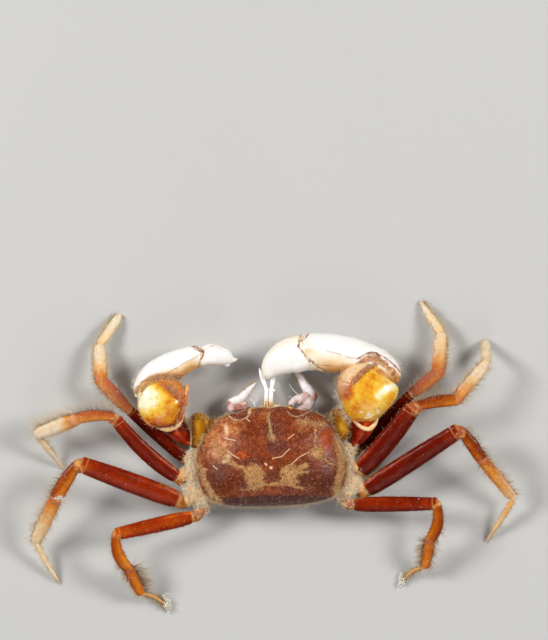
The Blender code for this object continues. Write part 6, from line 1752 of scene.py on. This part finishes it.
# fringes of the walking legs
HAIR_PLAN = {
    # part, share of hairs, centre of the row round the limb (front = 0, back = 0.5), width, from, to, length
    "all": (("merus", 90, 0.0, 0.025, 0.03, 0.98, 0.26), ("merus", 80, 0.5, 0.025, 0.03, 0.98, 0.26), ("merus", 8, 0.25, 0.1, 0.02, 1.0, 0.16),
            ("carpus", 46, 0.0, 0.04, 0.08, 1.0, 0.5), ("carpus", 32, 0.5, 0.04, 0.1, 1.0, 0.36), ("carpus", 10, 0.25, 0.1, 0.1, 1.0, 0.2),
            ("propodus", 70, 0.0, 0.04, 0.05, 1.0, 0.5), ("propodus", 56, 0.5, 0.04, 0.05, 1.0, 0.46), ("propodus", 24, 0.25, 0.12, 0.1, 1.0, 0.22),
            ("dactylus", 90, 0.0, 0.07, 0.05, 0.97, 0.36), ("dactylus", 80, 0.5, 0.07, 0.05, 0.97, 0.34), ("dactylus", 40, 0.25, 0.16, 0.1, 0.97, 0.18)),
    "leg_left_2": (("carpus", 120, 0.0, 0.04, 0.1, 1.0, 1.3), ("propodus", 170, 0.0, 0.04, 0.02, 1.0, 1.25), ("propodus", 90, 0.5, 0.06, 0.1, 1.0, 0.5),
                   ("dactylus", 90, 0.5, 0.05, 0.0, 0.6, 0.6)),
    "leg_left_4": (("propodus", 190, 0.5, 0.05, 0.05, 0.9, 1.35), ("dactylus", 50, 0.5, 0.06, 0.1, 0.8, 0.6), ("dactylus", 50, 0.0, 0.06, 0.1, 0.8, 0.6),
                   ("propodus", 24, 0.0, 0.05, 0.0, 0.4, 0.9), ("carpus", 20, 0.0, 0.05, 0.7, 1.0, 0.9)),
    "leg_right_4": (("propodus", 150, 0.5, 0.05, 0.05, 0.9, 1.0), ("dactylus", 50, 0.5, 0.06, 0.1, 0.8, 0.45), ("dactylus", 50, 0.0, 0.06, 0.1, 0.8, 0.5),
                    ("propodus", 24, 0.0, 0.05, 0.2, 1.0, 0.8), ("carpus", 14, 0.0, 0.05, 0.7, 1.0, 0.8)),
    "leg_right_3": (("carpus", 60, 0.0, 0.05, 0.1, 1.0, 0.9), ("propodus", 90, 0.0, 0.05, 0.0, 1.0, 0.75)),
    "leg_left_3": (("carpus", 50, 0.0, 0.05, 0.3, 1.0, 0.9), ("propodus", 100, 0.0, 0.05, 0.0, 1.0, 0.8), ("propodus", 50, 0.5, 0.05, 0.0, 1.0, 0.55)),
    "leg_right_1": (("propodus", 120, 0.5, 0.05, 0.0, 1.0, 0.7), ("dactylus", 120, 0.5, 0.07, 0.0, 0.9, 0.55), ("carpus", 60, 0.5, 0.05, 0.1, 1.0, 0.65)),
    "leg_left_1": (("propodus", 120, 0.5, 0.05, 0.0, 1.0, 0.65), ("dactylus", 120, 0.5, 0.07, 0.0, 0.9, 0.55), ("carpus", 60, 0.5, 0.05, 0.1, 1.0, 0.65)),
    "leg_right_2": (("propodus", 90, 0.5, 0.05, 0.0, 1.0, 0.7), ("propodus", 80, 0.0, 0.05, 0.0, 1.0, 0.65), ("carpus", 60, 0.0, 0.05, 0.1, 1.0, 0.7)),
}
for side in ("right", "left"):
    coat = Coat(f"leg_hairs_{side}", M["hair_gold"], "leg_propodus", 90)
    for leg, tubes in leg_tubes.items():
        if side not in leg:
            continue
        for part, count, centre, width, low, high, length in HAIR_PLAN["all"] + HAIR_PLAN.get(leg, ()):
            # on the right the breadth direction runs backwards, so front and back change places
            where = centre if centre == 0.25 else (centre + (0.5 if side == "right" else 0.0)) % 1.0
            if part == "merus" and leg.endswith(("1", "2")):
                count = count // (3 if leg.endswith("2") and centre == 0.5 else 9)
            u, v = along_edge(count, where, width, low, high)
            white = WHITENING[leg][{"merus": 0, "carpus": 0, "propodus": 1, "dactylus": 2}[part]]
            fine = 0.014 if leg == "leg_left_2" else 0.019
            hairs(coat, tubes[part], u, v, length, fine, lift=1.0, sweep=0.35, tone=0.2 + 0.8 * white, bend=0.2, jitter=0.22, droop=0.04)
    coat.build(rings=3)

for side in ("right", "left"):
    down = Coat(f"leg_down_{side}", M["hair_white"], "leg_dactylus", 12)
    for leg, tubes in leg_tubes.items():
        if side not in leg or leg.endswith("4"):
            continue
        for part, white in zip(("carpus", "propodus", "dactylus"), WHITENING[leg]):
            u, v = scatter(tubes[part], int({"carpus": 500, "propodus": 2400, "dactylus": 1500}[part] * white), lambda u, v, p: 0.2 + fade(v, 0.0, 0.7), v_range=(0.3 if part == "carpus" else 0.03, 0.99))
            p = tubes[part].place(u, v)
            hairs(down, tubes[part], u, v, 0.15, 0.014, lift=0.8, sweep=0.5, tone=0.5 + 0.8 * noise(p, 0.4, 7, 2), bend=0.1, jitter=0.8, droop=0.0)
    down.build(rings=2)


def crumbs(name, places, sizes, material):
    """Small angular grains, all in one mesh."""
    corners = np.array([(1, 0, 0), (-1, 0, 0), (0, 1, 0), (0, -1, 0), (0, 0, 1), (0, 0, -1)], float)
    faces = np.array([(0, 2, 4), (2, 1, 4), (1, 3, 4), (3, 0, 4), (2, 0, 5), (1, 2, 5), (3, 1, 5), (0, 3, 5)])
    count = len(places)
    shape = corners[None] * rng.uniform(0.6, 1.3, (count, 6, 1)) * np.reshape(sizes, (-1, 1, 1))
    shape = shape + rng.normal(size=(count, 6, 3)) * 0.12 * np.reshape(sizes, (-1, 1, 1))
    points = places[:, None, :] + shape
    points[..., 2] = np.maximum(points[..., 2], 0.01)
    tris = (faces[None] + (np.arange(count) * 6)[:, None, None]).reshape(-1, 3)
    obj = mesh_object(name, points.reshape(-1, 3), None, tris, material, {"tone": np.repeat(rng.uniform(0, 1, count), 6)})
    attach(obj, "root")
    return obj


def grain_material():
    m = Paint("lime_grains")
    colour = m.mix(m.attr("tone"), rgb(236, 226, 206), rgb(255, 254, 250))
    colour = m.mix(m.math("MULTIPLY", m.span(m.noise(0.1, 3), 0.5, 0.7), 0.4), colour, rgb(206, 190, 160))
    return m.finish(colour, 0.5, m.bump(m.noise(0.05, 3), 0.01), glow=0.2, glow_scale=0.1)


M["grain"] = grain_material()
spots, sizes = [], []
for leg, tubes in leg_tubes.items():
    for part, count in (("merus", 26), ("carpus", 12), ("propodus", 16), ("dactylus", 12)):
        u, v = rng.uniform(0, 1, count), rng.uniform(0.03, 1, count)
        near = rng.uniform(0, 1, count) < 0.6
        u = np.where(near, np.mod(rng.choice([0.0, 0.5], count) + rng.normal(size=count) * 0.04, 1.0), u * 0.5)
        p, n, _, _, _ = tubes[part].frame(u, v)
        spots.append(p + n * rng.uniform(0.0, 0.22, count)[:, None] * near[:, None])
        sizes.append(rng.uniform(0.016, 0.042, count) * (1 + 0.6 * (rng.uniform(0, 1, count) < 0.15)))
for leg, part, at, count, stretch, offset in (("leg_right_4", "dactylus", 0.96, 110, (0.16, 0.36, 0.16), (-0.1, 0.3, 0.2)),
                                              ("leg_right_4", "dactylus", 0.9, 40, (0.2, 0.14, 0.1), (0, 0, 0.1)),
                                              ("leg_left_4", "dactylus", 0.86, 150, (0.2, 0.42, 0.18), (0.12, 0.42, 0.24)),
                                              ("leg_left_4", "dactylus", 0.97, 50, (0.16, 0.2, 0.1), (0, 0, 0.1)),
                                              ("leg_left_3", "propodus", 0.02, 60, (0.32, 0.16, 0.12), (0.1, 0.0, 0.42)),
                                              ("leg_right_3", "carpus", 0.72, 16, (0.1, 0.14, 0.1), (0.5, 0.34, 0.2))):
    p = leg_tubes[leg][part].place(np.array([0.25]), np.array([at]))[0]
    p[2] -= leg_tubes[leg][part].read(leg_tubes[leg][part].half, np.array([at]))[0, 1]
    cloud = p + np.clip(rng.normal(size=(count, 3)), -1.8, 1.8) * np.array(stretch) + np.array(offset)
    spots.append(cloud)
    sizes.append(rng.uniform(0.04, 0.1, count))
u, v = scatter(carapace, 150, None, v_range=(0.11, 0.99))
spots.append(carapace.place(u, v))
sizes.append(rng.uniform(0.012, 0.03, 150))
crumbs("lime_grains", np.concatenate(spots), np.concatenate(sizes), M["grain"])

# hairs of the claw-bearing limbs and the mouthparts
arms = Coat("arm_hairs", M["felt"], "cheliped_carpus", 30)
for side in ("right", "left"):
    tubes = claw_tubes[side]
    inner = 0.5 if side == "right" else 0.0
    for part, count, centre, width, low, high, length in (("carpus", 130, inner, 0.05, 0.1, 0.95, 0.55), ("carpus", 120, 0.25, 0.12, 0.78, 0.97, 0.26),
                                                          ("carpus", 40, 0.5 - inner, 0.06, 0.05, 0.5, 0.3),
                                                          ("merus", 120, inner, 0.06, 0.1, 0.9, 0.5), ("ischium", 120, inner, 0.16, 0.1, 0.95, 0.4)):
        u, v = along_edge(count, centre, width, low, high)
        hairs(arms, tubes[part], u, v, length, 0.018, lift=1.0, sweep=0.35, tone=0.6, bend=0.2, jitter=0.4, droop=0.1)
    u, v = scatter(tubes["palm"], 700, lambda u, v, p: (claw_marks_right if side == "right" else claw_marks_left)(u, v, p)["felt"])
    hairs(arms, tubes["palm"], u, v, 0.26, 0.02, lift=0.8, sweep=-0.3, tone=0.35, bend=-0.2, jitter=0.6)
    u, v = scatter(tubes["carpus"], 700, lambda u, v, p: arm_marks(side)[2](u, v, p)["felt"])
    hairs(arms, tubes["carpus"], u, v, 0.24, 0.02, lift=0.8, sweep=0.3, tone=0.4, bend=0.2, jitter=0.6)
    for k, (lump, count) in enumerate(((lumps[f"arm_plate_{side}"], 420),)):
        u, v = scatter(lump, count // 2, lambda u, v, p: fade(p[:, 1], lump.centre[1] + 0.7, lump.centre[1] + 1.2), v_range=(0.25, 0.7))
        hairs(arms, lump, u, v, 0.34, 0.015, lift=1.0, sweep=0.0, tone=0.6, bend=0.1, jitter=0.8, droop=0.0)
arms.build(rings=2)
frizz = Coat("arm_frizz", M["hair_white"], "cheliped_carpus", 9)
for side in ("right", "left"):
    tubes = claw_tubes[side]
    inner = 0.5 if side == "right" else 0.0
    for part, count, low, high, length in (("carpus", 110, 0.02, 0.4, 0.9), ("merus", 120, 0.5, 0.95, 0.9)):
        u, v = along_edge(count, inner, 0.06, low, high)
        hairs(frizz, tubes[part], u, v, length, 0.013, lift=1.0, sweep=0.2, tone=0.7, bend=0.0, jitter=0.8, droop=0.0)
    tip = tubes["dactylus"]
    u, v = along_edge(60 if side == "left" else 20, 0.0 if side == "left" else 0.5, 0.06, 0.35, 0.6)
    u = np.mod(u + (0.5 if side == "left" else 0.5), 1.0)
    hairs(frizz, tip, u, v, 0.35, 0.012, lift=1.0, sweep=0.4, tone=0.3, bend=0.1, jitter=0.4, droop=0.0)
    palm = tubes["palm"]
    u, v = along_edge(110, 0.0 if side == "right" else 0.5, 0.08, 0.06, 0.2)
    hairs(frizz, palm, u, v, 0.45, 0.012, lift=1.0, sweep=-0.2, tone=0.6, bend=0.0, jitter=0.4, droop=0.0)
frizz.build(rings=3)

bristles = Coat("mouth_bristles", M["hair_gold"], "mouthpart", 12)
for side in ("right", "left"):
    tube = mouth_tubes[side]
    for count, centre, width, low, high, length in ((24, 0.0, 0.07, 0.5, 0.98, 0.32), (70 if side == "left" else 24, 0.5 if side == "left" else 0.0, 0.06, 0.72, 0.98, 0.4), (90 if side == "right" else 20, 0.5 if side == "right" else 0.0, 0.07, 0.72, 0.99, 0.45)):
        u, v = along_edge(count, centre, width, low, high)
        hairs(bristles, tube, u, v, length, 0.014, lift=0.8, sweep=0.7, tone=0.6, bend=0.3, jitter=0.35)
bristles.build(rings=3)


# ---------------------------------------------------------------- studio


def floor_material():
    m = Paint("studio_floor")
    colour = m.mix(m.noise(40, 3), rgb(194, 194, 193), rgb(198, 198, 197))
    return m.finish(colour, 0.9, m.bump(m.noise(0.8, 3), 0.01), specular=0.2)


mesh = bpy.data.meshes.new("studio_floor")
reach = 0.6
mesh.from_pydata([(-reach, -reach, 0), (reach, -reach, 0), (reach, reach, 0), (-reach, reach, 0)], [], [(0, 1, 2, 3)])
floor = bpy.data.objects.new("studio_floor", mesh)
bpy.context.scene.collection.objects.link(floor)
mesh.materials.append(floor_material())


def lamp(name, place, aim, size, power, colour=(1, 1, 1)):
    light = bpy.data.lights.new(name, "AREA")
    light.shape = "DISK"
    light.size = size
    light.energy = power
    light.color = colour
    obj = bpy.data.objects.new(name, light)
    obj.location = place
    way = np.array(aim) - np.array(place)
    obj.rotation_euler = Vector(way).to_track_quat("-Z", "Y").to_euler()
    bpy.context.scene.collection.objects.link(obj)
    return obj


lamp("left_soft", (-0.22, 0.09, 0.2), (0, 0.002, 0.003), 0.1, 0.69, (1.0, 0.985, 0.96))
lamp("right_soft", (0.22, 0.07, 0.2), (0, 0.002, 0.003), 0.1, 0.57, (1.0, 0.985, 0.96))
lamp("back_soft", (0.02, -0.24, 0.18), (0, 0.002, 0.003), 0.18, 0.15)

scene = bpy.context.scene
world = scene.world or bpy.data.worlds.new("World")
scene.world = world
world.use_nodes = True
background = world.node_tree.nodes.get("Background")
background.inputs["Color"].default_value = (0.75, 0.75, 0.75, 1)
background.inputs["Strength"].default_value = 0.28
scene.view_settings.view_transform = "Standard"

camera_data = bpy.data.cameras.new("camera")
camera_data.lens = 300
camera_data.sensor_fit = "VERTICAL"
camera_data.sensor_height = 36
camera_data.sensor_width = 36
camera_data.clip_start = 0.01
camera_data.clip_end = 10
camera = bpy.data.objects.new("camera", camera_data)
camera.location = (0.000188, 0.01335, 0.5043)
scene.collection.objects.link(camera)
scene.camera = camera
